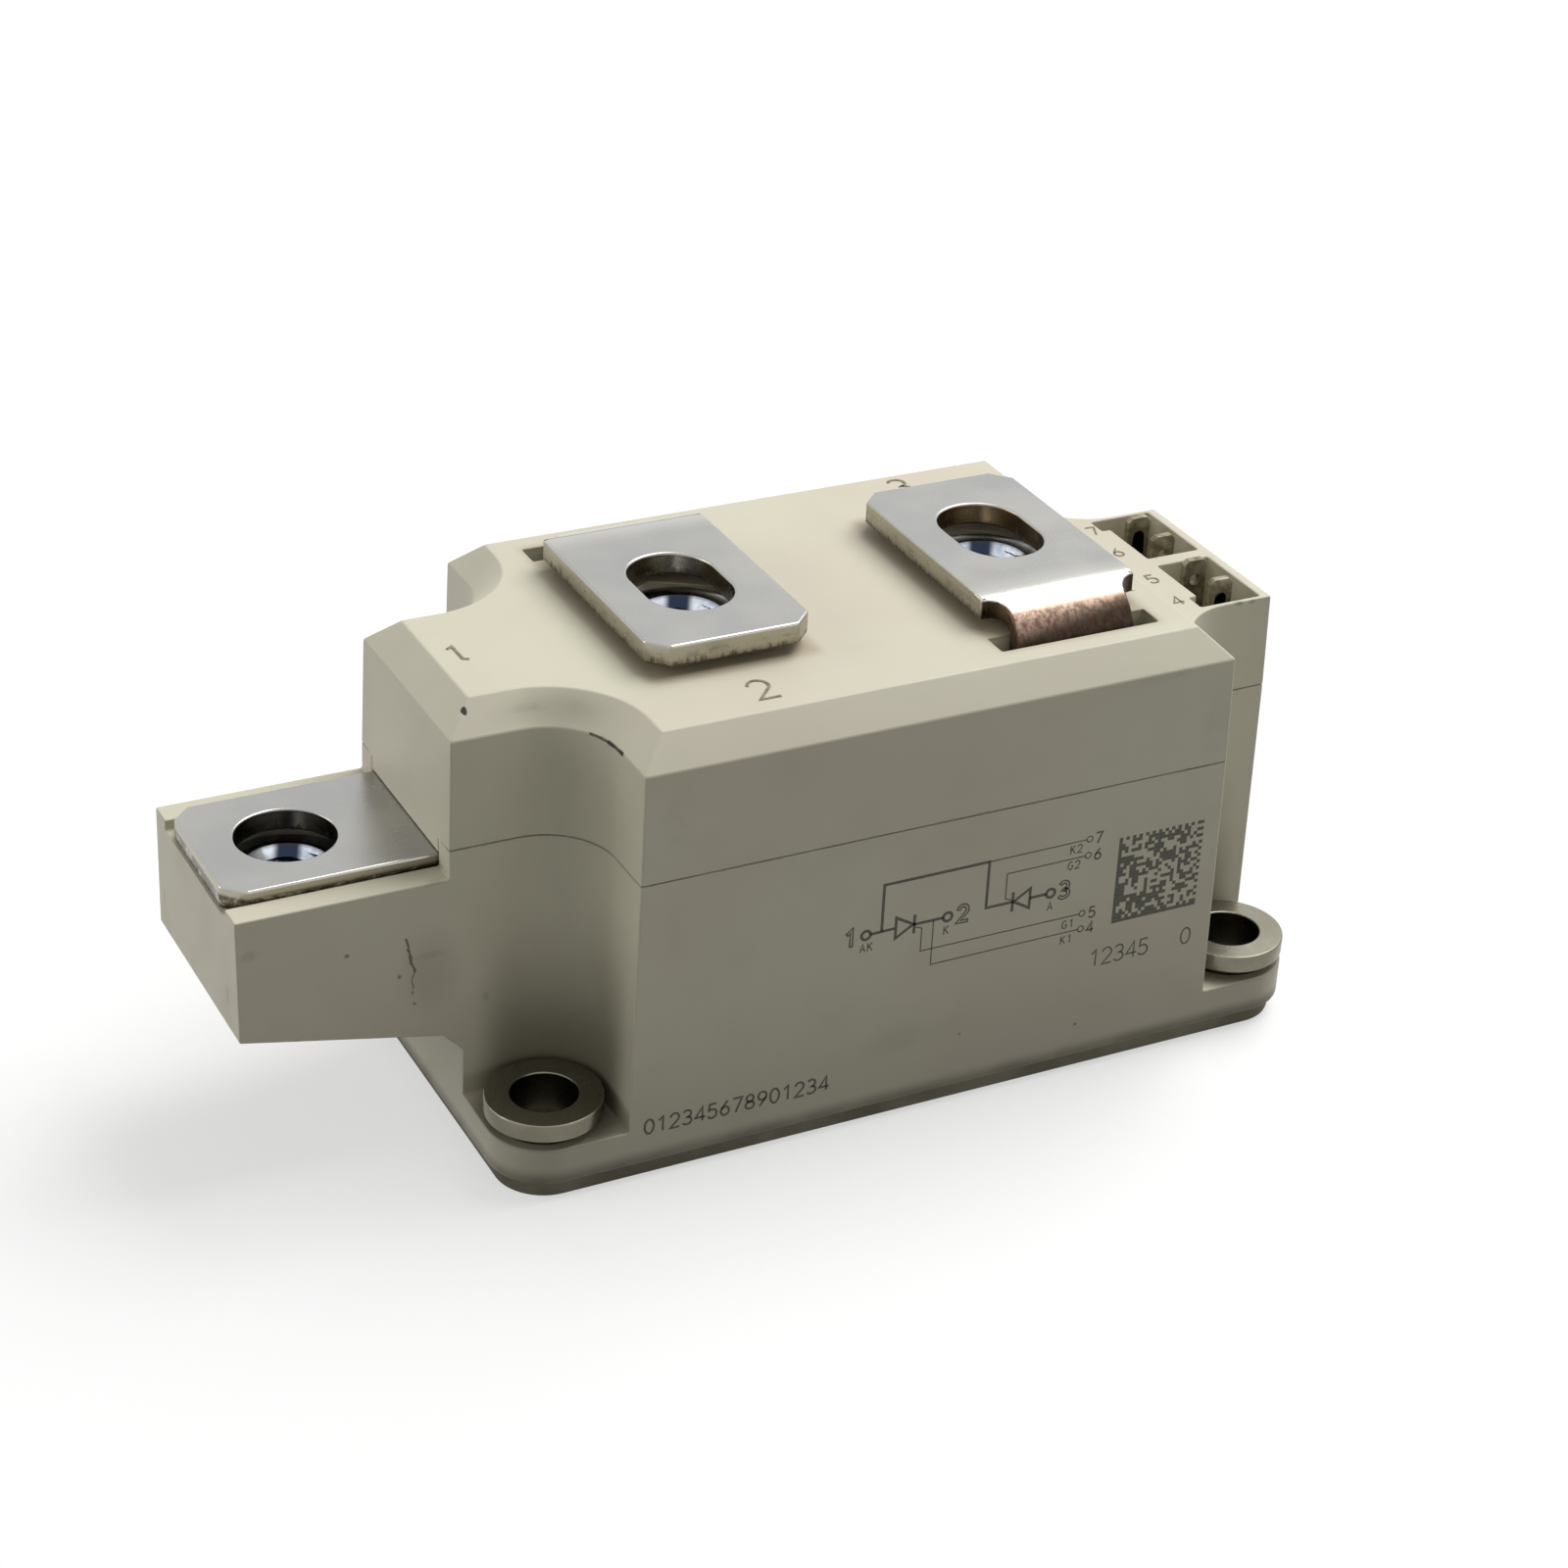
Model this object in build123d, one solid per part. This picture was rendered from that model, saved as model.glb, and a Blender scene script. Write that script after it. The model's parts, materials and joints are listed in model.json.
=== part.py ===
from build123d import *
from math import radians, tan
import os

# Dual thyristor power module in an insulated package, terminals on top, M8 connections.
# X runs along the module: terminal 1 stands out on its arm at -X, the control plug is at +X.
# Y runs across it, and -Y is the long side with the printed circuit diagram.
# Z = 0 is the face that bolts to the heat sink, and the origin is that face's centre.
# All sizes are in millimetres.

# Fits between pieces
slide_fit = 0.1
press_fit_gap = 0.05
nut_fit = 0.15
slot_fit = 0.15

# Flange, mounting holes and base plate
flange_length = 92.0
flange_width = 50.0
mount_hole = 6.8
ear_radius = 6.0
flange_top = 6.0
base_inset = 0.8
base_thickness = 4.5
base_showing = 2.0

# Housing walls and outline
wall = 2.2
part_plane = 34.0
draft = 1.2
notch_radius = 7.1
neck_overhang = 1.1
lip_depth = 1.5
lip_thickness = 1.1
lip_end_gap = 2.7

# Arm below terminal 1
arm_reach = 21.6
arm_drop = 3.0
arm_tip_bottom = 17.7
arm_root_bottom = 13.4
arm_gusset = 2.0
arm_rim = 2.85

# Cover and plug block
cover_top = 48.6
roof = 2.5
edge_chamfer = 2.9
plug_step = 4.15
plug_floor = 2.2
socket_width = 6.3
socket_rib = 1.9
socket_side_wall = 1.35
socket_end_wall = 0.75
socket_inner_wall = 2.15
key_width = 1.0
key_length = 2.4

# Power terminal bars
bar_thickness = 2.4
terminal_gap = 1.0
terminal_1_proud = 1.25
terminal_1_tip = 9.05
terminal_1_inset = 9.3
terminal_1_hole = 10.0
terminal_1_leg_room = 4.8
bar_slot_width = 9.0
bar_slot_length = 13.0
bar_slot_shift = 0.4
bar_free_end = 12.3
bar_corner = 2.0
leg_side_room = 6.0
leg_screw_gap = 0.75
relief_depth = 2.15
bend_radius = 3.5
relief_radius = 2.0
relief_start = 4.6
tongue_width = 3.0
tongue_screw_gap = 2.0

# Hexagon nuts, M8
nut_across_flats = 13.0
nut_height = 6.5
nut_bore = 6.8
nut_countersink = 8.6
nut_corner_cut = 0.5
nut_drop = 1.2
screw_room = 9.0
screw_room_depth = 4.0
boss_wall = 1.9
boss_floor = 2.0

# Mounting bushes
bush_shank = 9.4
bush_gap = 0.9
bush_collar = 2.0

# Clamped stacks: gaps along and across the module, then the pieces from the base upwards
clamp_end_gap = 0.3
clamp_side_gap = 0.4
stack_gap = 9.2
link_gap = 2.8
pad_screw_gap = 1.4
disc_step = 0.5
insulator_border = 1.0
insulator_thickness = 1.0
anode_disc_thickness = 2.0
silicon_thickness = 0.6
gate_hole = 6.0
cap_height = 5.0
cap_bore = 2.6
cap_counterbore = 4.8
cap_counterbore_depth = 3.0
cap_groove_width = 2.0
cap_groove_depth = 2.2
gate_pin_diameter = 2.0
gate_pin_collar = 4.0
gate_pin_collar_height = 0.8
pressure_plate_step = 1.5
pressure_plate_thickness = 2.5
spring_step = 1.0
spring_inner_radius = 4.2
spring_thickness = 1.0
spring_cone = 0.5
clamp_thickness = 3.0
clamp_corner = 3.0
clamp_screw_end = 3.4
clamp_screw_edge = 2.2
clamp_screw = 4.0
clamp_screw_head = 7.0
clamp_screw_head_height = 2.8
clamp_screw_socket = 2.5
clamp_screw_socket_depth = 1.8
clamp_screw_bite = 3.5

# Control tabs, 2.8 x 0.8, and the stiff leads soldered to them
tab_width = 2.8
tab_thickness = 0.8
tab_proud = 1.3
tab_eye = 1.2
tab_eye_drop = 2.3
tab_point = 0.5
tab_inner_inset = 2.25
tab_outer_inset = 2.95
tab_shoulder = 4.0
tab_shoulder_height = 1.2
lead_diameter = 1.3
lead_wall_gap = 1.45
lead_gap = 0.2
lead_screw_gap = 0.35
lead_bend = 1.6
lead_turn_back = 6.4
lead_entry_back = 5.0
lead_entry_slant = 1.25

# Outline: holes in line with the ears, corner notches about them, necks between the notches
half_width = flange_width / 2
plug_end = flange_length / 2
hole_x = plug_end - ear_radius
hole_y = half_width - ear_radius
body_end = hole_x - notch_radius
neck_half = hole_y - notch_radius
inner_end = body_end - wall
lip_half = inner_end - lip_end_gap
neck_end = plug_end + neck_overhang
foot_end = plug_end - (part_plane - flange_top) * tan(radians(draft))
arm_end = neck_end + arm_reach
arm_top = part_plane - arm_drop

# Plug block, its sockets and tabs
plug_top = cover_top - plug_step
socket_centre_x = plug_end - socket_side_wall - socket_width / 2
plug_core_end = socket_centre_x - socket_width / 2 - key_width - socket_inner_wall
socket_length = neck_half - socket_end_wall - socket_rib / 2
tab_tip = plug_top + tab_proud
tab_root = part_plane - tab_shoulder_height
tab_inner_y = socket_rib / 2 + tab_inner_inset
tab_outer_y = socket_rib / 2 + socket_length - tab_outer_inset

# Clamp plates fill the body from its end walls to the gap between the stacks
leg_face = half_width - leg_side_room
clamp_length = inner_end - clamp_end_gap - stack_gap / 2
clamp_width = 2 * (leg_face - bar_thickness - clamp_side_gap)
stack_x = (stack_gap + clamp_length) / 2
clamp_screw_x = clamp_length / 2 - clamp_screw_end
clamp_screw_y = clamp_width / 2 - clamp_screw_edge
clamp_screw_reach = (clamp_screw_x ** 2 + clamp_screw_y ** 2) ** 0.5

# Bars and discs: the pads keep clear of the link between the stacks and of the clamp screws
bar_gap = neck_half - arm_rim
bar_width = 2 * (bar_gap - slot_fit)
leg_width = min(bar_width - 2 * relief_depth,
                2 * (clamp_screw_x - clamp_screw / 2 - leg_screw_gap))
side_relief = (bar_width - leg_width) / 2
tongue_offset = clamp_screw_x - (clamp_screw + tongue_width) / 2 - tongue_screw_gap
pad_radius = min(stack_x - bar_thickness / 2 - link_gap,
                 clamp_screw_reach - clamp_screw / 2 - pad_screw_gap)
insulator_radius = pad_radius + insulator_border
anode_disc_radius = pad_radius - disc_step
silicon_radius = anode_disc_radius - disc_step
pressure_plate_radius = pad_radius - pressure_plate_step
spring_outer_radius = pressure_plate_radius - spring_step

# Heights of the stacks
insulator_top = base_thickness + insulator_thickness
lower_bar_top = insulator_top + bar_thickness
anode_disc_top = lower_bar_top + anode_disc_thickness
silicon_top = anode_disc_top + silicon_thickness
upper_bar_top = silicon_top + bar_thickness
cap_top = upper_bar_top + cap_height
pressure_plate_top = cap_top + pressure_plate_thickness
spring_height = spring_thickness + spring_cone
spring_top = pressure_plate_top + 2 * spring_height
clamp_top = spring_top + clamp_thickness
clamp_head_top = clamp_top + clamp_screw_head_height

# Terminals, nuts and bushes
inner_bend = bend_radius - bar_thickness
terminal_top = cover_top + terminal_gap + bar_thickness
terminal_1_top = arm_top + terminal_1_proud
terminal_1_underside = terminal_1_top - bar_thickness
terminal_1_x = terminal_1_inset - arm_end
terminal_1_leg_x = bar_thickness + terminal_1_leg_room + wall - foot_end
terminal_1_nut_top = terminal_1_underside - nut_drop
top_nut_top = terminal_top - bar_thickness - nut_drop
top_nut_seat = top_nut_top - nut_height
boss_bottom = top_nut_seat - screw_room_depth - boss_floor
boss_radius = (nut_across_flats + 2 * nut_fit) / 3 ** 0.5 + boss_wall
bush_outside = 2 * ear_radius
bush_top = flange_top + bush_gap + bush_collar

# Leads run along the side walls, over the clamp screws and into the plug neck
lead_side_y = half_width - wall - lead_wall_gap - lead_diameter / 2
tongue_end = lead_side_y + lead_diameter / 2
cathode_lead_z = clamp_head_top + lead_screw_gap + lead_diameter / 2
gate_lead_z = cathode_lead_z + lead_diameter + lead_gap
lead_turn_x = body_end - lead_turn_back
lead_entry_x = hole_x - lead_entry_back


def between(x0, x1, y0, y1, z0, z1):
    """Box between two opposite corners, given in either order."""
    middle = Pos((x0 + x1) / 2, (y0 + y1) / 2, (z0 + z1) / 2)
    return middle * Box(abs(x1 - x0), abs(y1 - y0), abs(z1 - z0))


def rod(x, y, z0, z1, radius):
    """Upright cylinder between two heights."""
    return Pos(x, y, (z0 + z1) / 2) * Cylinder(radius, z1 - z0)


def rounded_slab(length, width, radius, z0, z1):
    """Flat slab with round corners, centred on the origin."""
    return Pos(0, 0, z0) * extrude(RectangleRounded(length, width, radius), z1 - z0)


def body_outline(inset, left_end, plug=True):
    """Plan of the housing: a wide body, a neck at -X and, with plug, one at +X.

    The inner corners of the necks are arcs about the mounting holes.
    An inset moves the whole outline inwards, as for the inner face of a wall.
    """
    end = body_end - inset
    side = half_width - inset
    neck = neck_half - inset
    arc = notch_radius + inset
    left = -left_end + inset
    right = plug_end - inset
    sides = []
    for s in (1, -1):
        left_lines = [
            Line((left, 0), (left, s * neck)),
            Line((left, s * neck), (-hole_x, s * neck)),
            CenterArc((-hole_x, s * hole_y), arc, -90 * s, 90 * s),
            Line((-end, s * hole_y), (-end, s * side)),
        ]
        right_lines = [Line((end, s * side), (end, 0))]
        if plug:
            right_lines = [
                Line((end, s * side), (end, s * hole_y)),
                CenterArc((hole_x, s * hole_y), arc, 180, 90 * s),
                Line((hole_x, s * neck), (right, s * neck)),
                Line((right, s * neck), (right, 0)),
            ]
        sides += left_lines + [Line((-end, s * side), (end, s * side))] + right_lines
    return make_face(Wire(sides))


def hexagon(across_flats):
    """Hexagon with two flats square to Y."""
    return RegularPolygon(across_flats / 2, 6, major_radius=False, rotation=30)


def nut_room(x, y, seat, top):
    """What a nut and the end of its screw take out of the plastic."""
    pocket = Pos(x, y, seat) * extrude(hexagon(nut_across_flats + 2 * nut_fit), top - seat)
    return pocket + rod(x, y, seat - screw_room_depth, seat, screw_room / 2)


def mount_holes():
    """The four mounting places, front left first and then round the base."""
    return [(-hole_x, -hole_y), (hole_x, -hole_y), (hole_x, hole_y), (-hole_x, hole_y)]


def clamp_screw_places(x):
    """The four clamp screws of the stack at x."""
    return [(x + i * clamp_screw_x, j * clamp_screw_y) for i in (-1, 1) for j in (-1, 1)]


def base_plate():
    """Nickel plated copper plate that carries the stacks and meets the heat sink."""
    length = flange_length - 2 * base_inset
    width = flange_width - 2 * base_inset
    plate = rounded_slab(length, width, ear_radius - base_inset, 0, base_thickness)
    for x, y in mount_holes():
        plate -= rod(x, y, 0, base_thickness, mount_hole / 2)
    for x in (-stack_x, stack_x):
        for sx, sy in clamp_screw_places(x):
            bottom = base_thickness - clamp_screw_bite - slide_fit
            plate -= rod(sx, sy, bottom, base_thickness, clamp_screw / 2 + press_fit_gap)
    return plate


def drafted(height, left_end, plug=True):
    """The housing's outline drawn from the parting plane to a height above or below it.

    The draft lets each moulding leave its tool: the cover narrows upwards, the lower housing
    widens downwards.
    """
    start = Pos(0, 0, part_plane) * body_outline(0, left_end, plug)
    narrowed = body_outline(height * tan(radians(draft)), left_end, plug)
    return loft([start, Pos(0, 0, part_plane + height) * narrowed], ruled=True)


def arm():
    """Solid arm below terminal 1, deeper at its root, with a small gusset."""
    root = -plug_end
    profile = make_face(Polyline(
        (-arm_end, arm_top),
        (-arm_end, arm_tip_bottom),
        (root - arm_gusset, arm_root_bottom),
        (root, arm_root_bottom - arm_gusset),
        (-neck_end + wall, arm_root_bottom - arm_gusset),
        (-neck_end + wall, part_plane),
        (-neck_end, part_plane),
        (-neck_end, arm_top),
        close=True,
    ))
    block = extrude(Plane.XZ * profile, half_width, both=True)
    return block & drafted(flange_top - part_plane, arm_end)


def lower_housing():
    """Lower plastic shell: flange, walls, corner notches and the arm of terminal 1."""
    skirt_bottom = base_showing
    shell = rounded_slab(flange_length, flange_width, ear_radius, skirt_bottom, flange_top)
    walls = drafted(flange_top - part_plane, foot_end)
    shell += walls & between(-plug_end, plug_end, -half_width, half_width, flange_top, part_plane)
    shell += arm()
    room = extrude(body_outline(wall, foot_end), part_plane - skirt_bottom)
    shell -= Pos(0, 0, skirt_bottom) * room
    length = flange_length - 2 * base_inset + 2 * slide_fit
    width = flange_width - 2 * base_inset + 2 * slide_fit
    corner = ear_radius - base_inset + slide_fit
    shell -= rounded_slab(length, width, corner, skirt_bottom, base_thickness)
    for x, y in mount_holes():
        shell -= rod(x, y, base_thickness, flange_top, bush_shank / 2 + press_fit_gap)
    bar_floor = terminal_1_underside
    shell -= between(-arm_end, -foot_end + wall, -bar_gap, bar_gap, bar_floor, part_plane)
    nut_seat = terminal_1_nut_top - nut_height
    return shell - nut_room(terminal_1_x, 0, nut_seat, bar_floor)


def socket_rooms():
    """The two plug sockets, each with its keyway at the outer end of the -X side."""
    floor = part_plane + plug_floor
    x0 = socket_centre_x - socket_width / 2
    rooms = []
    for s in (-1, 1):
        near = s * socket_rib / 2
        far = near + s * socket_length
        room = between(x0, x0 + socket_width, near, far, floor, plug_top)
        key = between(x0 - key_width, x0, far, far - s * key_length, floor, plug_top)
        rooms.append(room + key)
    return rooms


def tab_places():
    """Y of control tabs 4, 5, 6 and 7."""
    return {4: -tab_outer_y, 5: -tab_inner_y, 6: tab_inner_y, 7: tab_outer_y}


def top_cover():
    """Upper plastic shell: chamfered roof, bar slots, nut bosses and the plug block."""
    roofed = drafted(cover_top - part_plane, neck_end, plug=False)
    roofed = chamfer(roofed.faces().sort_by(Axis.Z)[-1].edges(), edge_chamfer)
    cover = roofed + drafted(plug_top - part_plane, neck_end)
    room = body_outline(wall, neck_end, plug=False)
    cover -= Pos(0, 0, part_plane) * extrude(room, cover_top - roof - part_plane)
    corner_bottom = cover_top - roof - edge_chamfer / 2
    cover += between(inner_end - edge_chamfer, inner_end, -half_width + wall, half_width - wall,
                     corner_bottom, cover_top - roof)
    cover -= between(inner_end, plug_core_end, wall - neck_half, neck_half - wall,
                     part_plane, plug_top - wall)
    for s in (-1, 1):
        side = s * (half_width - wall)
        cover += between(-inner_end, inner_end, side, side - s * edge_chamfer,
                         corner_bottom, cover_top - roof)
        lip_face = side - s * slide_fit
        lip_back = lip_face - s * lip_thickness
        cover += between(-lip_half, lip_half, side, lip_back, part_plane, part_plane + wall)
        cover += between(-lip_half, lip_half, lip_face, lip_back,
                         part_plane - lip_depth, part_plane)
    for s in (-1, 1):
        x = s * stack_x
        cover += rod(x, 0, boss_bottom, cover_top - roof, boss_radius)
        cover -= nut_room(x, 0, top_nut_seat, cover_top)
        leg_y = -s * (leg_face - bar_thickness / 2)
        half_gap = bar_thickness / 2 + 2 * slot_fit
        cover -= between(x - bar_gap, x + bar_gap, leg_y - half_gap, leg_y + half_gap,
                         part_plane, cover_top)
    for room in socket_rooms():
        cover -= room
    for y in tab_places().values():
        half_x = tab_width / 2 + slide_fit
        half_y = tab_thickness / 2 + slide_fit
        cover -= between(socket_centre_x - half_x, socket_centre_x + half_x,
                         y - half_y, y + half_y, part_plane, plug_top)
    tongue_bottom = terminal_1_top + slide_fit
    tongue_half = bar_gap - slide_fit
    cover += between(-neck_end, -neck_end + wall, -tongue_half, tongue_half,
                     tongue_bottom, part_plane)
    return cover


def pad(x, bottom):
    """Round contact face of a bar, on the axis of the stack at x."""
    return rod(x, 0, bottom, bottom + bar_thickness, pad_radius)


def lead_tongue(x, side, bottom):
    """Narrow tongue of an upper contact, where the auxiliary cathode lead lands."""
    x0 = x + tongue_offset - tongue_width / 2
    return between(x0, x0 + tongue_width, 0, side * tongue_end, bottom, bottom + bar_thickness)


def top_terminal_bar(foot_bottom):
    """Bar bent from one strip: foot in the stack, leg up the side, terminal on top.

    It is made about its own stack's axis with the leg at -Y.
    """
    t = bar_thickness
    strip = make_face(Polyline(
        (-leg_face, foot_bottom),
        (pad_radius / 2, foot_bottom),
        (pad_radius / 2, foot_bottom + t),
        (-leg_face + t, foot_bottom + t),
        (-leg_face + t, terminal_top - t),
        (bar_free_end, terminal_top - t),
        (bar_free_end, terminal_top),
        (-leg_face, terminal_top),
        close=True,
    ))
    outer = strip.vertices().group_by(Axis.X)[0]
    inner = strip.vertices().group_by(Axis.X)[1]
    strip = fillet(outer, bend_radius)
    strip = fillet([v for v in strip.vertices() if v.Y in [i.Y for i in inner]
                    and v.X < -leg_face + 1.5 * t], inner_bend)
    bar = extrude(Plane.YZ * strip, bar_width / 2, both=True)
    for s in (-1, 1):
        edge = Rectangle(2 * side_relief, 2 * relief_start)
        edge = fillet(edge.vertices(), relief_radius)
        bar -= Pos(s * bar_width / 2, -leg_face, 0) * extrude(edge, terminal_top)
        bar -= between(s * leg_width / 2, s * bar_width / 2, -leg_face, pad_radius,
                       foot_bottom, foot_bottom + t)
    tip = bar.edges().filter_by(Axis.Z).group_by(Axis.Y)[-1]
    bar = chamfer(tip, bar_corner)
    slot = SlotOverall(bar_slot_length, bar_slot_width, rotation=90)
    bar -= Pos(0, -bar_slot_shift, terminal_top - t) * extrude(slot, t)
    return bar + pad(0, foot_bottom)


def terminal_3_bar():
    """Anode of thyristor 2, below its disc, with the leg at -Y."""
    return Pos(stack_x, 0, 0) * top_terminal_bar(insulator_top)


def terminal_2_bar():
    """Cathode of thyristor 1, above its disc, with the leg at +Y."""
    bar = Pos(-stack_x, 0, 0) * Rot(0, 0, 180) * top_terminal_bar(silicon_top)
    bar += lead_tongue(-stack_x, -1, silicon_top)
    return bar - rod(-stack_x, 0, silicon_top, upper_bar_top, gate_hole / 2)


def terminal_1_bar():
    """Common terminal: out on the arm, down inside the neck, below thyristor 1."""
    t = bar_thickness
    tip = terminal_1_x - terminal_1_tip
    leg = terminal_1_leg_x
    profile = make_face(Polyline(
        (tip, terminal_1_top),
        (leg, terminal_1_top),
        (leg, lower_bar_top),
        (t / 2, lower_bar_top),
        (t / 2, insulator_top),
        (leg - t, insulator_top),
        (leg - t, terminal_1_underside),
        (tip, terminal_1_underside),
        close=True,
    ))
    corners = profile.vertices()
    outer = [v for v in corners if (round(v.X, 3), round(v.Y, 3)) in (
        (round(leg, 3), round(terminal_1_top, 3)), (round(leg - t, 3), round(insulator_top, 3)))]
    profile = fillet(outer, bend_radius)
    inner = [v for v in profile.vertices() if (round(v.X, 3), round(v.Y, 3)) in (
        (round(leg, 3), round(lower_bar_top, 3)),
        (round(leg - t, 3), round(terminal_1_underside, 3)))]
    profile = fillet(inner, inner_bend)
    bar = extrude(Plane.XZ * profile, bar_width / 2, both=True)
    bar = chamfer(bar.edges().filter_by(Axis.Z).group_by(Axis.X)[0], bar_corner)
    bar -= rod(terminal_1_x, 0, terminal_1_underside, terminal_1_top, terminal_1_hole / 2)
    return bar + pad(-stack_x, insulator_top)


def cathode_link_bar():
    """Joins terminal 1's foot to the upper contact of thyristor 2, between the stacks."""
    t = bar_thickness
    profile = make_face(Polyline(
        (-t / 2, lower_bar_top),
        (t / 2, lower_bar_top),
        (t / 2, silicon_top),
        (stack_x, silicon_top),
        (stack_x, upper_bar_top),
        (-t / 2, upper_bar_top),
        close=True,
    ))
    bar = extrude(Plane.XZ * profile, bar_width / 2, both=True)
    bar += pad(stack_x, silicon_top)
    bar += lead_tongue(stack_x, 1, silicon_top)
    return bar - rod(stack_x, 0, silicon_top, upper_bar_top, gate_hole / 2)


def hexagon_nut():
    """M8 hexagon nut on the Z axis, its top face at Z = 0."""
    nut = Pos(0, 0, -nut_height) * extrude(hexagon(nut_across_flats), nut_height)
    corner = nut_across_flats / 3 ** 0.5
    turned = Cylinder(corner, nut_height, align=(Align.CENTER, Align.CENTER, Align.MAX))
    nut &= chamfer(turned.edges().filter_by(GeomType.CIRCLE), nut_corner_cut,
                   2 * nut_corner_cut)
    nut -= rod(0, 0, -nut_height, 0, nut_bore / 2)
    sink = (nut_countersink - nut_bore) / 2
    return chamfer(nut.edges().filter_by(GeomType.CIRCLE).filter_by(
        lambda e: abs(e.radius - nut_bore / 2) < press_fit_gap), sink)


def mount_bush(x, y):
    """Steel bush of a mounting hole: its collar takes the screw head."""
    bush = rod(x, y, base_thickness, bush_top - bush_collar, bush_shank / 2)
    bush += rod(x, y, bush_top - bush_collar, bush_top, bush_outside / 2)
    return bush - rod(x, y, base_thickness, bush_top, mount_hole / 2)


def insulating_cap(x, side):
    """Plastic cap that carries the clamp force round the gate pin."""
    cap = rod(x, 0, upper_bar_top, cap_top, pad_radius)
    cap -= rod(x, 0, upper_bar_top, cap_top, cap_bore / 2)
    cap -= rod(x, 0, cap_top - cap_counterbore_depth, cap_top, cap_counterbore / 2)
    half = cap_groove_width / 2
    return cap - between(x - half, x + half, 0, side * pad_radius,
                         cap_top - cap_groove_depth, cap_top)


def gate_pin(x):
    """Gate contact that stands on the middle of the silicon disc."""
    collar = cap_top - cap_counterbore_depth
    pin = rod(x, 0, silicon_top, cap_top - slide_fit, gate_pin_diameter / 2)
    return pin + rod(x, 0, collar, collar + gate_pin_collar_height, gate_pin_collar / 2)


def disc_spring(x, bottom, upwards):
    """Coned spring washer, its inner edge up or down."""
    rise = spring_cone if upwards else 0
    fall = spring_cone - rise
    section = make_face(Polyline(
        (spring_inner_radius, bottom + rise),
        (spring_outer_radius, bottom + fall),
        (spring_outer_radius, bottom + fall + spring_thickness),
        (spring_inner_radius, bottom + rise + spring_thickness),
        close=True,
    ))
    return Pos(x, 0, 0) * revolve(Plane.XZ * section, Axis.Z)


def clamp_plate(x):
    """Steel plate that four screws pull down on the springs of one stack."""
    plate = Pos(x, 0, 0) * rounded_slab(clamp_length, clamp_width, clamp_corner,
                                        spring_top, clamp_top)
    for sx, sy in clamp_screw_places(x):
        plate -= rod(sx, sy, spring_top, clamp_top, clamp_screw / 2 + slide_fit)
    return plate


def clamp_screws(x):
    """The four socket head screws of one stack, each a solid of its own."""
    screws = []
    socket = extrude(RegularPolygon(clamp_screw_socket / 2, 6, major_radius=False),
                     -clamp_screw_socket_depth)
    for sx, sy in clamp_screw_places(x):
        screw = rod(sx, sy, base_thickness - clamp_screw_bite, clamp_top, clamp_screw / 2)
        screw += rod(sx, sy, clamp_top, clamp_head_top, clamp_screw_head / 2)
        screws.append(screw - Pos(sx, sy, clamp_head_top) * socket)
    return Compound(children=screws)


def control_tab(y):
    """Flat plug tab, seated with its shoulder below the floor of the socket."""
    half = tab_width / 2
    outline = make_face(Polyline(
        (-half, part_plane),
        (-half, tab_tip - tab_point),
        (-half + tab_point, tab_tip),
        (half - tab_point, tab_tip),
        (half, tab_tip - tab_point),
        (half, part_plane),
        close=True,
    ))
    root = Pos(0, (tab_root + part_plane) / 2) * Rectangle(tab_shoulder, part_plane - tab_root)
    outline += root
    outline -= Pos(0, tab_tip - tab_eye_drop) * Circle(tab_eye / 2)
    tab = extrude(Plane.XZ * outline, tab_thickness / 2, both=True)
    return Pos(socket_centre_x, y, 0) * tab


def lead(points):
    """Stiff round lead bent at each point between its straight runs."""
    path = FilletPolyline(*points, radius=lead_bend)
    start = Plane(origin=points[0], z_dir=path % 0)
    return sweep(start * Circle(lead_diameter / 2), path)


def lead_end(tab_y, side, height, slant):
    """Last points of every lead: along the wall, across into the plug neck, up to the tab."""
    return [
        (lead_turn_x, side * lead_side_y, height),
        (lead_entry_x, side * (tab_y + slant), height),
        (socket_centre_x, side * tab_y, height - lead_bend),
        (socket_centre_x, side * tab_y, tab_root),
    ]


def gate_lead(x, side):
    """From the gate pin of the stack at x to its inner tab."""
    groove = cap_top - cap_groove_depth / 2
    return lead([
        (x, side * gate_pin_diameter / 2, groove),
        (x, side * lead_side_y, groove),
        (x, side * lead_side_y, gate_lead_z),
    ] + lead_end(tab_inner_y, side, gate_lead_z, lead_entry_slant))


def cathode_lead(x, side):
    """From an upper contact's tongue to the outer tab on the same side."""
    return lead([
        (x + tongue_offset, side * lead_side_y, upper_bar_top),
        (x + tongue_offset, side * lead_side_y, cathode_lead_z),
    ] + lead_end(tab_outer_y, side, cathode_lead_z, -lead_entry_slant))


def stack_pieces(name, x, side):
    """The discs, cap, springs and clamp of the stack at x, its gate groove at side."""
    return {
        "insulator_disc_" + name: rod(x, 0, base_thickness, insulator_top, insulator_radius),
        "anode_disc_" + name: rod(x, 0, lower_bar_top, anode_disc_top, anode_disc_radius),
        "silicon_disc_" + name: rod(x, 0, anode_disc_top, silicon_top, silicon_radius),
        "insulating_cap_" + name: insulating_cap(x, side),
        "gate_pin_" + name: gate_pin(x),
        "pressure_plate_" + name: rod(x, 0, cap_top, pressure_plate_top,
                                      pressure_plate_radius),
        "lower_disc_spring_" + name: disc_spring(x, pressure_plate_top, True),
        "upper_disc_spring_" + name: disc_spring(x, pressure_plate_top + spring_height, False),
        "clamp_plate_" + name: clamp_plate(x),
        "clamp_screws_" + name: clamp_screws(x),
    }


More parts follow.
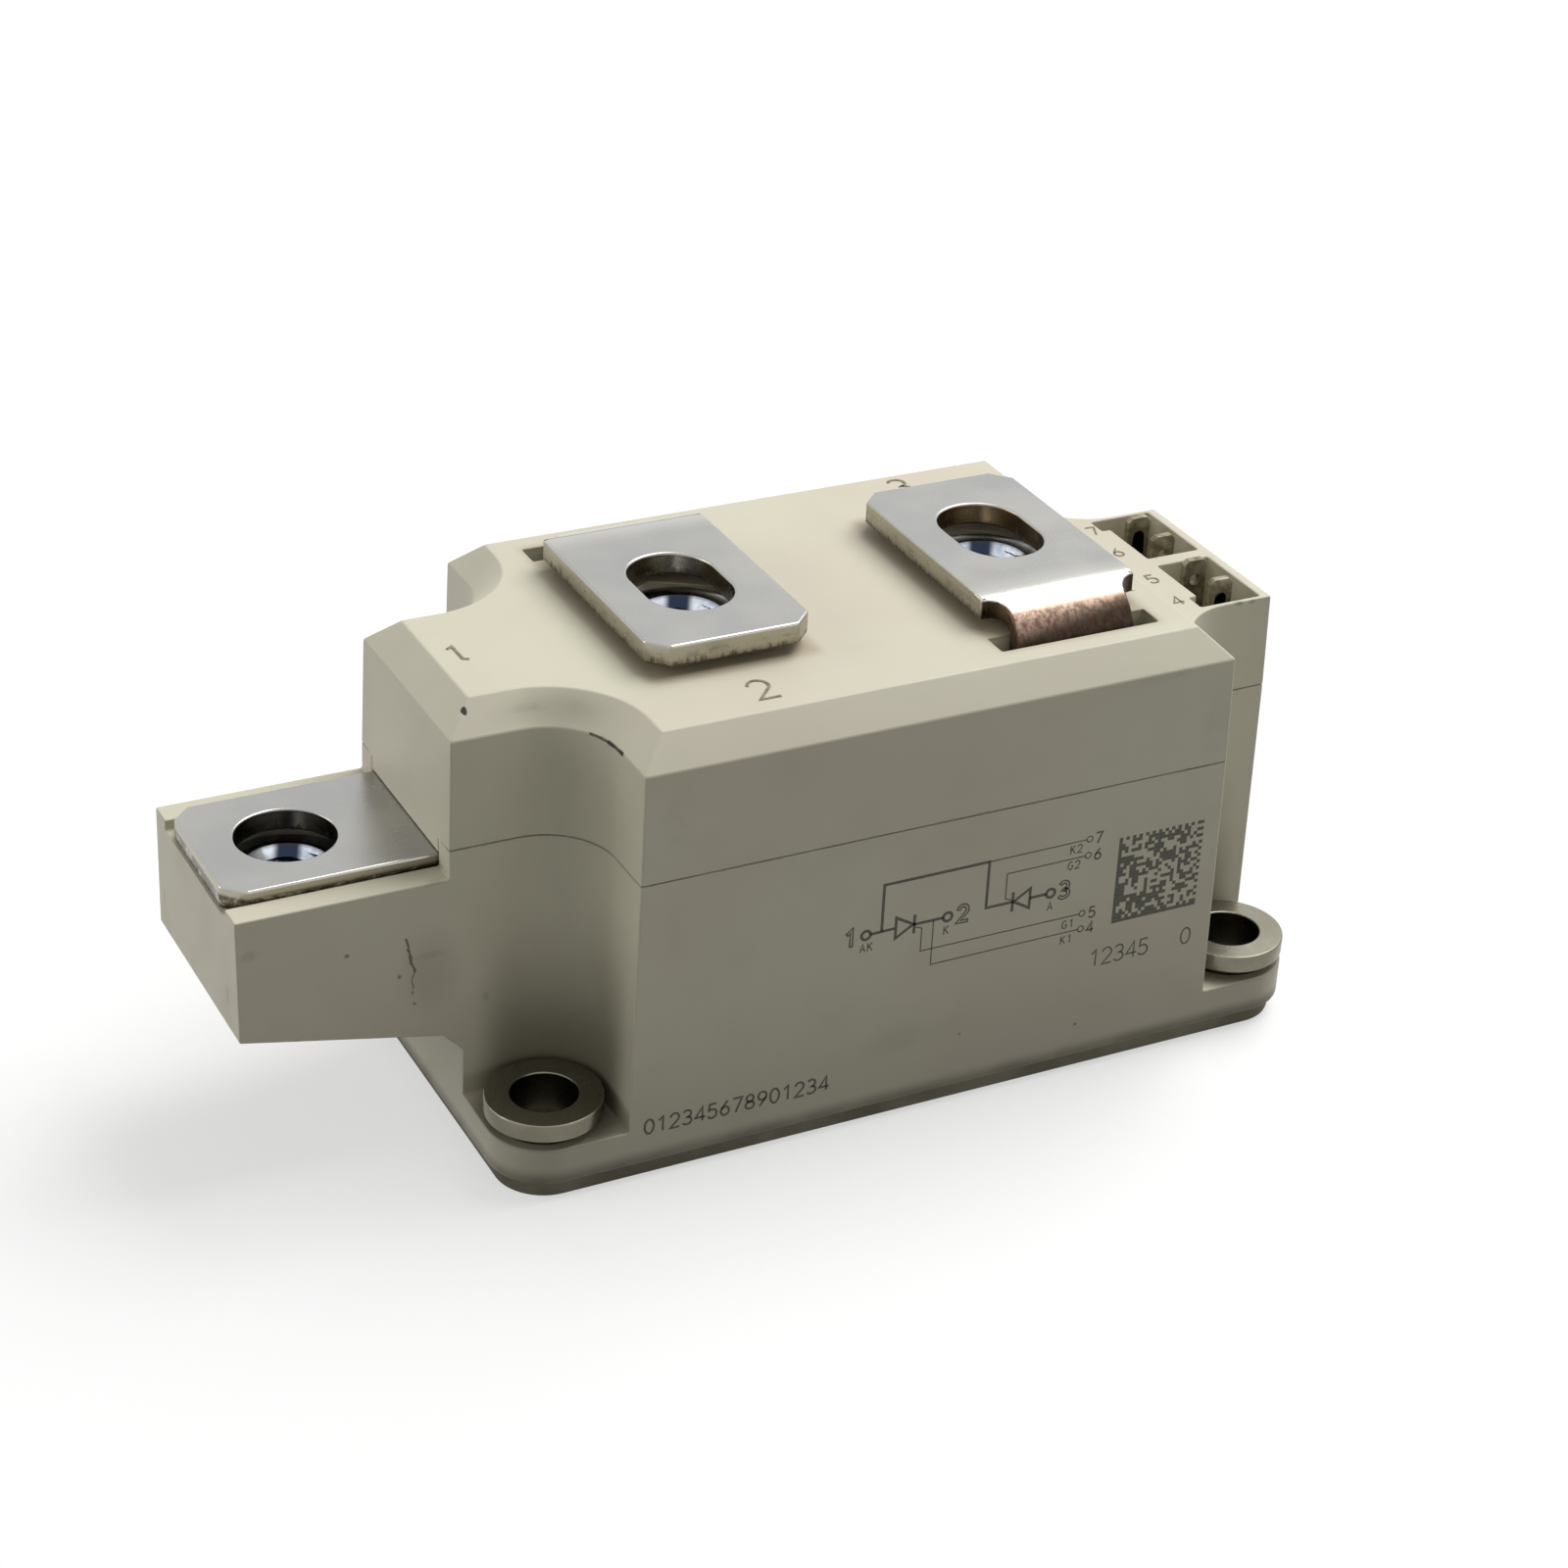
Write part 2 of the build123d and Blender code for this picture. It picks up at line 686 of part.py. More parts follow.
def all_pieces():
    """Every piece of the module by its node name."""
    pieces = {
        "base_plate": base_plate(),
        "lower_housing": lower_housing(),
        "top_cover": top_cover(),
        "terminal_1_bar": terminal_1_bar(),
        "terminal_2_bar": terminal_2_bar(),
        "terminal_3_bar": terminal_3_bar(),
        "cathode_link_bar": cathode_link_bar(),
        "terminal_1_nut": Pos(terminal_1_x, 0, terminal_1_nut_top) * hexagon_nut(),
        "terminal_2_nut": Pos(-stack_x, 0, top_nut_top) * hexagon_nut(),
        "terminal_3_nut": Pos(stack_x, 0, top_nut_top) * hexagon_nut(),
    }
    for number, (x, y) in enumerate(mount_holes(), start=1):
        pieces[f"mount_bush_{number}"] = mount_bush(x, y)
    for number, y in tab_places().items():
        pieces[f"control_tab_{number}"] = control_tab(y)
    pieces.update(stack_pieces("1", -stack_x, -1))
    pieces.update(stack_pieces("2", stack_x, 1))
    pieces["cathode_lead_4"] = cathode_lead(-stack_x, -1)
    pieces["gate_lead_5"] = gate_lead(-stack_x, -1)
    pieces["gate_lead_6"] = gate_lead(stack_x, 1)
    pieces["cathode_lead_7"] = cathode_lead(stack_x, 1)
    return pieces


os.makedirs("parts", exist_ok=True)
for node, shape in all_pieces().items():
    shape.label = node
    export_step(shape, f"parts/{node}.step")
    print(f"{node}: {shape.volume:.1f} mm3")
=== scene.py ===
# %% [markdown]
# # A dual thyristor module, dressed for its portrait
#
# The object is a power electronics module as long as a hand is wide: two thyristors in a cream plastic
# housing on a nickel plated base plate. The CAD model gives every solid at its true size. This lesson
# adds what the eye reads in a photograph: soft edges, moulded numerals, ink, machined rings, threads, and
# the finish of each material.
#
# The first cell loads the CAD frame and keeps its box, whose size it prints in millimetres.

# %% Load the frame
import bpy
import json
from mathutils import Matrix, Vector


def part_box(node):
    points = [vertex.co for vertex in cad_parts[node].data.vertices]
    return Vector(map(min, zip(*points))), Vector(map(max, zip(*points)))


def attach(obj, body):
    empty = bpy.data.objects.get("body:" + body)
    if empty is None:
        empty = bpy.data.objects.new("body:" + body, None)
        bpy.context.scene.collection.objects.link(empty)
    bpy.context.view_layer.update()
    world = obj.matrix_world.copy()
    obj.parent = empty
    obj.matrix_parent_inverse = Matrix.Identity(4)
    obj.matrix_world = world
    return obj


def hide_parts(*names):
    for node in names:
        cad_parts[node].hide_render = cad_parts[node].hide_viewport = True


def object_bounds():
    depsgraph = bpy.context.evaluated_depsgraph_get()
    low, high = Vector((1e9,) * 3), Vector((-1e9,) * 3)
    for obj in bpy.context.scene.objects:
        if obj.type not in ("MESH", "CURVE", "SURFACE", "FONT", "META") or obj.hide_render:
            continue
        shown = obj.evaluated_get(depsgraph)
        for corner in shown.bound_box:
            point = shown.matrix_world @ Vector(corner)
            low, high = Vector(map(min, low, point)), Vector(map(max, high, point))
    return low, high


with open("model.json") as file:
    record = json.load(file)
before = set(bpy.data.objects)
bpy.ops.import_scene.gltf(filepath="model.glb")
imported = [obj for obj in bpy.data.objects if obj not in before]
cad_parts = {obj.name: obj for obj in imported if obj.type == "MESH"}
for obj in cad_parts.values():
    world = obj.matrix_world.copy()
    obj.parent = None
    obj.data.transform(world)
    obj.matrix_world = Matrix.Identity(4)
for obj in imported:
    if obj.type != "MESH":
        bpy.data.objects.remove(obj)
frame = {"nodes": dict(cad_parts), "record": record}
cad_box = [list(corner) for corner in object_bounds()]

import json
import math
import random
import bmesh
import bpy
from mathutils import Matrix, Vector

MM = 0.001
print("the CAD box in mm:", [[round(v / MM, 2) for v in corner] for corner in cad_box])

# %% [markdown]
# ## The camera
#
# A camera can be matched to a photograph by hand, by moving it until the corners agree. Here the view was
# worked out from the corners of the base plate and the holes: the long side is turned 28 degrees and seen
# from 29 degrees above. The turn, the height, the distance and a small roll are kept as plain numbers,
# and the place follows from them.

# %% Place the camera
def added(name, data):
    """A new object with some data, linked to the scene."""
    made = bpy.data.objects.new(name, data)
    bpy.context.scene.collection.objects.link(made)
    return made


TURN, HEIGHT, ROLL = math.radians(-28.034), math.radians(29.235), math.radians(2.914)
DISTANCE = 364.576 * MM
LOOKED_AT = Vector((-3.770, 2.113, 25)) * MM

away = Vector((math.sin(TURN) * math.cos(HEIGHT), -math.cos(TURN) * math.cos(HEIGHT), math.sin(HEIGHT)))
level_right = (-away).cross(Vector((0, 0, 1))).normalized()
level_up = level_right.cross(-away)
right = math.cos(ROLL) * level_right + math.sin(ROLL) * level_up
up = math.cos(ROLL) * level_up - math.sin(ROLL) * level_right

lens = bpy.data.cameras.new("portrait_lens")
lens.lens, lens.sensor_width, lens.sensor_fit = 79.576, 36, "HORIZONTAL"
lens.clip_start = 0.01
camera = added("portrait_camera", lens)
stand = LOOKED_AT + away * DISTANCE
camera.matrix_world = Matrix([(right[i], up[i], away[i], stand[i]) for i in range(3)] + [(0, 0, 0, 1)])
bpy.context.scene.camera = camera
print("camera at", [round(v / MM) for v in camera.matrix_world.translation], "mm")

# %% [markdown]
# ## Drawing materials as sums
#
# A material in Blender is a sheet of nodes, and most of them do plain arithmetic. Wiring those by hand
# hides the idea, so a small class wraps one output of a node. Adding or multiplying two of them lays down
# the Math node that does it, and a mask such as `1 - dirt` reads like the sum that it is. Everything else
# goes through one method, `node`.

# %% A signal that can be reckoned with
class Signal:
    """One number, colour or vector that changes over the surface, taken from a node's output."""

    def __init__(self, sheet, socket):
        self.sheet, self.socket = sheet, socket

    def reckon(self, operation, *values, clamp=False):
        settings = {"operation": operation, "use_clamp": clamp}
        return self.sheet.node("Math", settings, dict(enumerate(values)))

    def __add__(self, other):
        return self.reckon("ADD", self, other)

    def __radd__(self, other):
        return self.reckon("ADD", other, self)

    def __sub__(self, other):
        return self.reckon("SUBTRACT", self, other)

    def __rsub__(self, other):
        return self.reckon("SUBTRACT", other, self)

    def __mul__(self, other):
        return self.reckon("MULTIPLY", self, other)

    def __rmul__(self, other):
        return self.reckon("MULTIPLY", other, self)

    def __abs__(self):
        return self.reckon("ABSOLUTE", self)

    def held(self):
        """The same signal, kept between 0 and 1."""
        return self.reckon("ADD", self, 0, clamp=True)


# %% [markdown]
# ## A sheet of nodes
#
# Materials and the world are both sheets of nodes, so both use the same small class. `node` takes any
# node's type, its settings and the values or links of its sockets. The rest are the handy parts that most
# finishes need: a ramp, a way to lay one colour over another by a mask, and a mask for the rays that show
# the backdrop.

# %% The sheet class
class Sheet:
    """A sheet of nodes, and the parts that every sheet needs."""

    def __init__(self, tree):
        self.tree = tree

    def node(self, kind, settings=None, values=None, out=0):
        """Any node: its type, its settings, the values or links of its sockets, and which output."""
        made = self.tree.nodes.new("ShaderNode" + kind)
        for name, value in (settings or {}).items():
            setattr(made, name, value)
        for place, value in (values or {}).items():
            if isinstance(value, Signal):
                self.tree.links.new(value.socket, made.inputs[place])
            else:
                made.inputs[place].default_value = value
        return Signal(self, made.outputs[out])

    def vector(self, operation, *values, out=0):
        return self.node("VectorMath", {"operation": operation}, dict(enumerate(values)), out)

    def ramp(self, signal, low, high):
        """0 where the signal is below `low`, 1 above `high`, a smooth step between."""
        return self.node("MapRange", {"interpolation_type": "SMOOTHSTEP"},
                         {"Value": signal, "From Min": low, "From Max": high})

    def lay(self, mask, under, over):
        """One colour over another where the mask is 1."""
        return self.node("Mix", {"data_type": "RGBA"}, {0: mask, 6: under, 7: over}, out=2)

    def shown(self):
        """1 for the rays that show the backdrop: from the camera, from a reflection or through glass."""
        camera_ray, mirror_ray, glass_ray = (self.node("LightPath", out=f"Is {kind} Ray")
                                             for kind in ("Camera", "Glossy", "Transmission"))
        return (camera_ray + mirror_ray + glass_ray).held()


# %% [markdown]
# ## One finish, one sheet
#
# A finish is a material together with the masks that marks and grain are made of: the point on the object
# in millimetres, noise at a real size, a soft spot round one point, and a thin line from one point to
# another. Working in millimetres keeps every scratch and grain at the scale it has on the real module.

# %% The finish class
class Finish(Sheet):
    """A material and the nodes that draw it."""

    def __init__(self, name, **constants):
        self.material = bpy.data.materials.new(name)
        self.material.use_nodes = True
        super().__init__(self.material.node_tree)
        self.shader = self.tree.nodes["Principled BSDF"]
        for socket, value in constants.items():
            self.shader.inputs[socket.replace("_", " ")].default_value = value
        self.place = self.vector("MULTIPLY", self.node("TexCoord", out="Object"), [1 / MM] * 3)

    def axis(self, name):
        """Where the point lies along X, Y or Z, in millimetres."""
        return self.node("SeparateXYZ", values={0: self.place}, out=name)

    def facing(self, name):
        """How squarely the surface faces along X, Y or Z, either way: from 0 to 1."""
        normal = self.node("NewGeometry", out="Normal")
        return abs(self.node("SeparateXYZ", values={0: normal}, out=name))

    def noise(self, size, detail=3, rough=0.55, stretch=(1, 1, 1), seed=0.0):
        """Cloudy noise from 0 to 1 whose blobs are about `size` millimetres across."""
        shift = (seed, seed * 0.7, seed * 1.3)
        scaled = self.vector("MULTIPLY_ADD", self.place, [s / size for s in stretch], shift)
        values = {"Vector": scaled, "Scale": 1, "Detail": detail, "Roughness": rough}
        return self.node("TexNoise", values=values)

    def steep(self):
        """1 on the walls, 0 on what lies level."""
        return 1 - self.ramp(self.facing("Z"), 0.3, 0.75)

    def spot(self, centre, reach, edge=0.5):
        """1 at a point, fading to 0 at `reach` millimetres along each axis."""
        squashed = self.vector("DIVIDE", self.vector("SUBTRACT", self.place, centre), reach)
        return self.ramp(1 - self.vector("LENGTH", squashed, out="Value"), 0, edge)

    def line(self, start, end, width, sway):
        """1 along a thin straight line between two points; noise makes it sway along each axis."""
        run = Vector(end) - Vector(start)
        cloud = self.node("TexNoise", values={"Vector": self.place, "Scale": 1}, out=1)
        sideways = self.vector("SUBTRACT", cloud, (0.5, 0.5, 0.5))
        moved = self.vector("MULTIPLY_ADD", sideways, sway, self.place)
        from_start = self.vector("SUBTRACT", moved, start)
        share = self.vector("DOT_PRODUCT", from_start, run / run.length_squared, out="Value").held()
        shares = self.node("CombineXYZ", values={0: share, 1: share, 2: share})
        off = self.vector("DISTANCE", from_start, self.vector("MULTIPLY", shares, run), out="Value")
        return 1 - self.ramp(off, width * 0.4, width)

    def feed(self, **inputs):
        """Link signals to the shader's sockets."""
        for name, signal in inputs.items():
            self.tree.links.new(signal.socket, self.shader.inputs[name.replace("_", " ")])

    def bump(self, height, depth, strength=1.0):
        """Relief in millimetres, fed to the shader's normal."""
        relief = self.node("Bump", values={"Height": height, "Distance": depth * MM, "Strength": strength})
        self.feed(Normal=relief)


def colour(red, green, blue):
    """A screen colour, 0 to 255, as the linear values that Blender reckons with."""
    shares = (red / 255, green / 255, blue / 255)
    linear = [v / 12.92 if v <= 0.04045 else ((v + 0.055) / 1.055) ** 2.4 for v in shares]
    return (*linear, 1.0)


print("cream as linear light:", [round(v, 3) for v in colour(216, 211, 192)])

# %% [markdown]
# ## The moulded plastic
#
# The housing is glass filled polyester, pressed in a steel mould. It is cream, a little pinker in wide
# clouds, with a fine satin grain. An image of real plastic would repeat and would be soft from near by,
# so noise at four scales does it: wide clouds for the colour, a slow wave that keeps large faces from
# lying dead flat, blotches of a few millimetres for handling, and grain of a tenth of a millimetre for
# the bump. The two mouldings meet in a fine dark seam.

# %% Housing plastic
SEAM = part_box("lower_housing")[1].z / MM
CREAM, PINK_CREAM = colour(214, 210, 189), colour(212, 204, 185)
SOOT, DUST, SHADOW_BROWN = colour(34, 30, 22), colour(134, 130, 112), colour(92, 87, 70)


def moulded_plastic(name):
    """The plastic's finish and its body colour, before the marks that one moulding has."""
    made = Finish(name, IOR=1.5, Specular_IOR_Level=0.4)
    z = made.axis("Z")
    clouds = made.ramp(made.noise(30, detail=2, seed=3.1), 0.4, 0.66)
    blotches = made.ramp(made.noise(6, detail=4, seed=8.4), 0.45, 0.75)
    body = made.lay(clouds, CREAM, PINK_CREAM)
    body = made.lay(blotches * 0.25, body, colour(206, 203, 181))
    beside_tongue = 1 - made.spot((-47.5, 0, SEAM), (2.5, 10, 2.5), 0.02)
    dirt = 0.1 + made.noise(5, seed=1.2) * 0.8
    seam = made.ramp(0.17 - abs(z - SEAM), 0, 0.12) * dirt * beside_tongue
    body = made.lay(seam.held(), body, SHADOW_BROWN)
    return made, body, blotches


def finish_plastic(made, body, blotches, dents):
    """Feed the shader: the body with its marks, a satin grain, and dents where the marks go in."""
    grain = made.noise(0.14, detail=3, rough=0.6, seed=2.2)
    wave = made.noise(9, detail=2, seed=6.6)
    made.feed(Base_Color=body, Roughness=0.42 + blotches * 0.12 + grain * 0.1)
    made.bump(grain * 0.6 + wave * 2.0 - dents * 6, 0.02, 0.6)


print("the mouldings meet at", round(SEAM, 2), "mm")

# %% [markdown]
# ### The wear that the photograph shows
#
# A used part is told from a new one by a few marks in the right places, not by dirt all over. Painting
# them on an image would need the mouldings unwrapped. Each smudge here is a soft spot at its own place
# instead, most of them broken up by noise so that they have no clean outline, and each crack is a thin
# line that may sway a little.

# %% Marks as a list
def smudged(made, body, smudges):
    """Lay smudges over the body: centre, reach, strength, shade, and whether noise breaks it up."""
    ragged = made.ramp(made.noise(1.7, detail=6, rough=0.7, seed=4.4), 0.25, 0.8)
    for centre, reach, strength, shade, broken in smudges:
        mask = made.spot(centre, reach, 0.8) * strength
        if broken:
            mask = mask * ragged
        body = made.lay(mask, body, shade)
    return body


def cracked(made, body, path, width, shade, sway=(0, 0, 0)):
    """A crack through a few points; gives the body with the crack in it, and the crack's mask."""
    whole = 0
    for start, end in zip(path, path[1:]):
        whole = made.line(start, end, width, sway) + whole
    whole = whole.held()
    return made.lay(whole, body, shade), whole


# %% [markdown]
# ### Marks of the cover
#
# The cover has a nick on the ridge of its neck, smears on the chamfer, a crack below the front arc and
# soot at the plug block. Under the two bent plates the roof is painted a warm brown as their shadow,
# reaching a little past their edges as a painted contact shadow. A rectangle with soft sides does that.
# The box of a nut says where its plate lies along the module; across it, the plate's middle is a little
# off, towards the bend.

# %% Cover plastic with its marks
PLATE_MIDDLE = 3.35


def hole_axis(number):
    """Where the hole of a terminal stands along the module, in millimetres."""
    low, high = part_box(f"terminal_{number}_nut")
    return (low.x + high.x) / 2 / MM


made, body, blotches = moulded_plastic("cover_plastic")
body = smudged(made, body, (
    ((-36.6, -12.2, 47.2), (8, 5, 1.9), 0.3, DUST, False),
    ((-38.2, -10.6, 47.2), (3.6, 1.4, 0.5), 0.35, DUST, True),
    ((-34.2, -12.6, 47.3), (1.6, 1.8, 0.7), 0.3, DUST, True),
    ((-29.2, -25, 41), (2.4, 2, 5), 0.12, DUST, True),
    ((-26.0, -25, 37.2), (3.0, 2, 2.6), 0.1, DUST, True),
    ((24.5, -25, 45.4), (6.5, 1.2, 0.9), 0.25, DUST, True),
    ((30.8, -25, 38.5), (1.6, 2, 5.5), 0.12, DUST, True),
    ((41.7, -11.7, 44.3), (0.9, 0.5, 0.35), 0.9, SOOT, True),
    ((43.4, -11.7, 44.2), (0.6, 0.5, 0.3), 0.9, SOOT, True),
    ((-32.9, 20.1, 46.5), (0.5, 0.7, 0.6), 0.5, SOOT, True),
))
nick = made.spot((-44.68, -9.6, 47.75), (0.34, 0.5, 1.1), 0.35)
body = made.lay(nick, body, SOOT)
along_arc = ((-33.91, -14.9, 45.7), (-33.3, -16, 45.66), (-32.88, -17.2, 45.62))
body, hairline = cracked(made, body, along_arc, 0.22, SHADOW_BROWN)
end_of_arc = ((-33.0, -17.0, 45.62), (-32.7, -19.5, 45.58))
body, crack = cracked(made, body, end_of_arc, 0.34, SOOT, (0.2, 0.2, 0.1))
x, y, z = map(made.axis, "XYZ")
# painted shadow: the roof under each bent plate, and a little past its edges, is darkened to a warm brown
for number, middle in ((2, PLATE_MIDDLE), (3, -PLATE_MIDDLE)):
    below = made.ramp(abs(x - hole_axis(number)), 10.2, 8.4) * made.ramp(abs(y - middle), 17.3, 15.2)
    body = made.lay(below * made.ramp(z, 48, 48.5) * 0.5, body, colour(146, 122, 84))
finish_plastic(made, body, blotches, nick + hairline + crack)
COVER_PLASTIC = made.material
print("cover:", COVER_PLASTIC.name, "with", len(made.tree.nodes), "nodes")

# %% [markdown]
# ### Marks of the lower housing
#
# Below, the walls grow darker towards the foot, a scratch runs down the arm's side, and round the bushes
# the plastic is painted dark, partly as grime and partly as shade in the notches. The four bushes lie
# alike about the middle, so the absolute values of x and y fold the module onto one corner, and one
# distance serves for all four.

# %% Distance from a bush
BUSH_AXIS = sum(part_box("mount_bush_3"), Vector()) / 2 / MM


def from_bush(made):
    """The distance from the nearest bush's axis, in millimetres."""
    x, y = map(made.axis, "XY")
    across = made.node("CombineXYZ", values={0: abs(x) - BUSH_AXIS.x, 1: abs(y) - BUSH_AXIS.y})
    return made.vector("LENGTH", across, out="Value")


print("the bushes stand", round(BUSH_AXIS.x, 2), "and", round(BUSH_AXIS.y, 2), "mm from the middle")

# %% Lower housing plastic with its marks
made, body, blotches = moulded_plastic("lower_plastic")
z = made.axis("Z")
# the walls grow darker towards the foot, and a band at the foot darker still, broken up by noise
body = made.lay(made.ramp(22 - z, 0, 20) * 0.2, body, SHADOW_BROWN)
foot = made.ramp(3.9 - z, 0, 1.7) * (0.25 + made.noise(7, detail=4, seed=5.5))
body = made.lay(foot.held(), body, SHADOW_BROWN)
body = smudged(made, body, (
    ((-49.2, -12.1, 21.0), (4.0, 1.5, 6.5), 0.22, DUST, False),
    ((-51.1, -12.2, 19.2), (0.25, 1, 0.3), 0.9, DUST, False),
    ((-50.9, -12.2, 17.9), (0.3, 1, 0.3), 0.9, DUST, False),
    ((-49.0, -12.1, 23.0), (2.6, 1.5, 0.7), 0.3, SHADOW_BROWN, True),
    ((-57.7, -11.9, 24.9), (0.45, 1, 0.35), 0.8, SHADOW_BROWN, False),
    ((-52.4, -11.9, 21.3), (0.35, 1, 0.4), 0.8, SHADOW_BROWN, False),
    ((-67.4, -11.9, 27.2), (1.5, 1, 0.9), 0.4, SHADOW_BROWN, True),
    ((-63.0, -11.9, 16.6), (0.5, 1, 0.4), 0.5, DUST, False),
    ((-68.7, 10.3, 21.9), (1, 0.5, 1.2), 0.55, DUST, True),
    ((-68.7, -9.0, 21.4), (1, 0.7, 1.4), 0.6, DUST, True),
    ((-48.6, -11.9, 30.9), (1.6, 0.8, 0.35), 0.5, SHADOW_BROWN, True),
    ((-43.4, -12.0, 16.9), (0.7, 1, 0.7), 0.6, SHADOW_BROWN, True),
    ((-28.9, -25, 28), (2.2, 2, 5), 0.1, DUST, True),
    ((17.6, -25, 5.85), (0.32, 1, 0.32), 0.8, SHADOW_BROWN, False),
    ((3.6, -25, 8.2), (0.26, 1, 0.24), 0.6, SHADOW_BROWN, False),
    ((-4.2, -25, 9.2), (5.5, 1, 2.4), 0.14, DUST, False),
))
down_the_arm = ((-51.7, -12.08, 25.3), (-51.35, -12.11, 23.9), (-50.9, -12.17, 21.6))
sway = (0.9, 0, 0.3)
body, scratch = cracked(made, body, down_the_arm, 0.17, colour(114, 109, 90), sway)
body, end_of_scratch = cracked(made, body, (down_the_arm[-1], (-51.1, -12.2, 19.7)), 0.12, DUST, sway)
# painted shade with some grime: the notch walls and the ledge round each bush are darkened, most on the
# walls above the flange
by_the_bush = made.ramp(from_bush(made), 8.4, 6.2) * made.ramp(28 - z, 0, 22)
shade_and_grime = by_the_bush * (0.05 + made.ramp(z, 5.6, 6.3) * 0.8)
body = made.lay(shade_and_grime, body, colour(84, 78, 60))
finish_plastic(made, body, blotches, (scratch + end_of_scratch) * 0.4)
HOUSING_PLASTIC = made.material
print("lower housing:", HOUSING_PLASTIC.name, "with", len(made.tree.nodes), "nodes")

# %% [markdown]
# ## The tinned terminals
#
# The terminals are punched from copper bar and tinned. The punch leaves the top edge round and bright,
# and the lower half of each side torn and dark. The tops and the sides could be two materials, but the
# change between them is soft, so one finish asks how steep a wall is and how far below the top it lies.
# The walls of the holes are painted dark as shade, each hole in its own tone, and the straight plate has
# the most dark patches on its sides, partly grime and partly painted shade.
#
# The two plates that are bent have a stain as well: bending cracked the tin, and the copper shows through
# in pink, then in dark brown further round. One number that grows along the bend, `along_bend`, places
# each shade of it. Before the stain, a painted highlight lightens the top towards the bend and lays the
# start of the bend in cream. The walls of the relief cuts beside a bend are painted dark as shade.

# %% Stain of a bend
HALF_PLATE, RELIEF_DEPTH, RELIEF_START = 8.9, 2.15, 4.6
TORN_BROWN = colour(70, 61, 44)


def stained_bend(made, body, wall, middle, outer, top, side):
    """Stain the bend at the far (1) or near (-1) side, with a painted highlight before it and painted shade
    in the relief cuts; gives the body and the stain's mask.
    """
    x, y, z = map(made.axis, "XYZ")
    toward_bend = (y - outer) * side
    # painted highlight: the top grows lighter towards the bend
    body = made.lay(made.ramp(toward_bend, -9, -3.6) * (1 - wall) * 0.6, body, colour(222, 220, 212))
    in_bend = made.ramp(toward_bend, -4.4, -3.5)
    mottle = made.noise(0.5, detail=5, rough=0.7, stretch=(1, 1, 0.45), seed=7.7)
    along_bend = (toward_bend + 3.5) * 0.6 + (top - z) * 0.6 + (mottle - 0.5) * 1.4
    # painted highlight: the bend is laid cream where the stain leaves it
    body = made.lay(in_bend * 0.7, body, colour(200, 196, 180))
    stain = made.ramp(along_bend, 0.0, 1.5) * in_bend
    pink = made.lay(made.ramp(mottle, 0.4, 0.6), colour(104, 84, 72), colour(160, 137, 122))
    body = made.lay(stain, body, pink)
    deep = made.ramp(along_bend + (x - middle) * 0.13, 1.5, 3.4) * in_bend
    body = made.lay(deep * 0.9, body, colour(46, 36, 29))
    half_leg = HALF_PLATE - RELIEF_DEPTH
    beside_leg = made.ramp(abs(x - middle), half_leg - 0.2, half_leg)
    # painted shade: the walls of the relief cuts are darkened
    relief_cut_shade = wall * made.ramp(toward_bend, -RELIEF_START - 0.2, -RELIEF_START) * beside_leg
    body = made.lay(relief_cut_shade, body, colour(50, 41, 30))
    flank = made.ramp(made.facing("X"), 0.35, 0.7) * in_bend
    body = made.lay(flank, body, colour(84, 70, 54))
    return body, stain


# %% Finish of one terminal
ROUND_HOLE, LONG_HOLE = (5.7, 5.7, 90), (5.2, 7.2, 90)


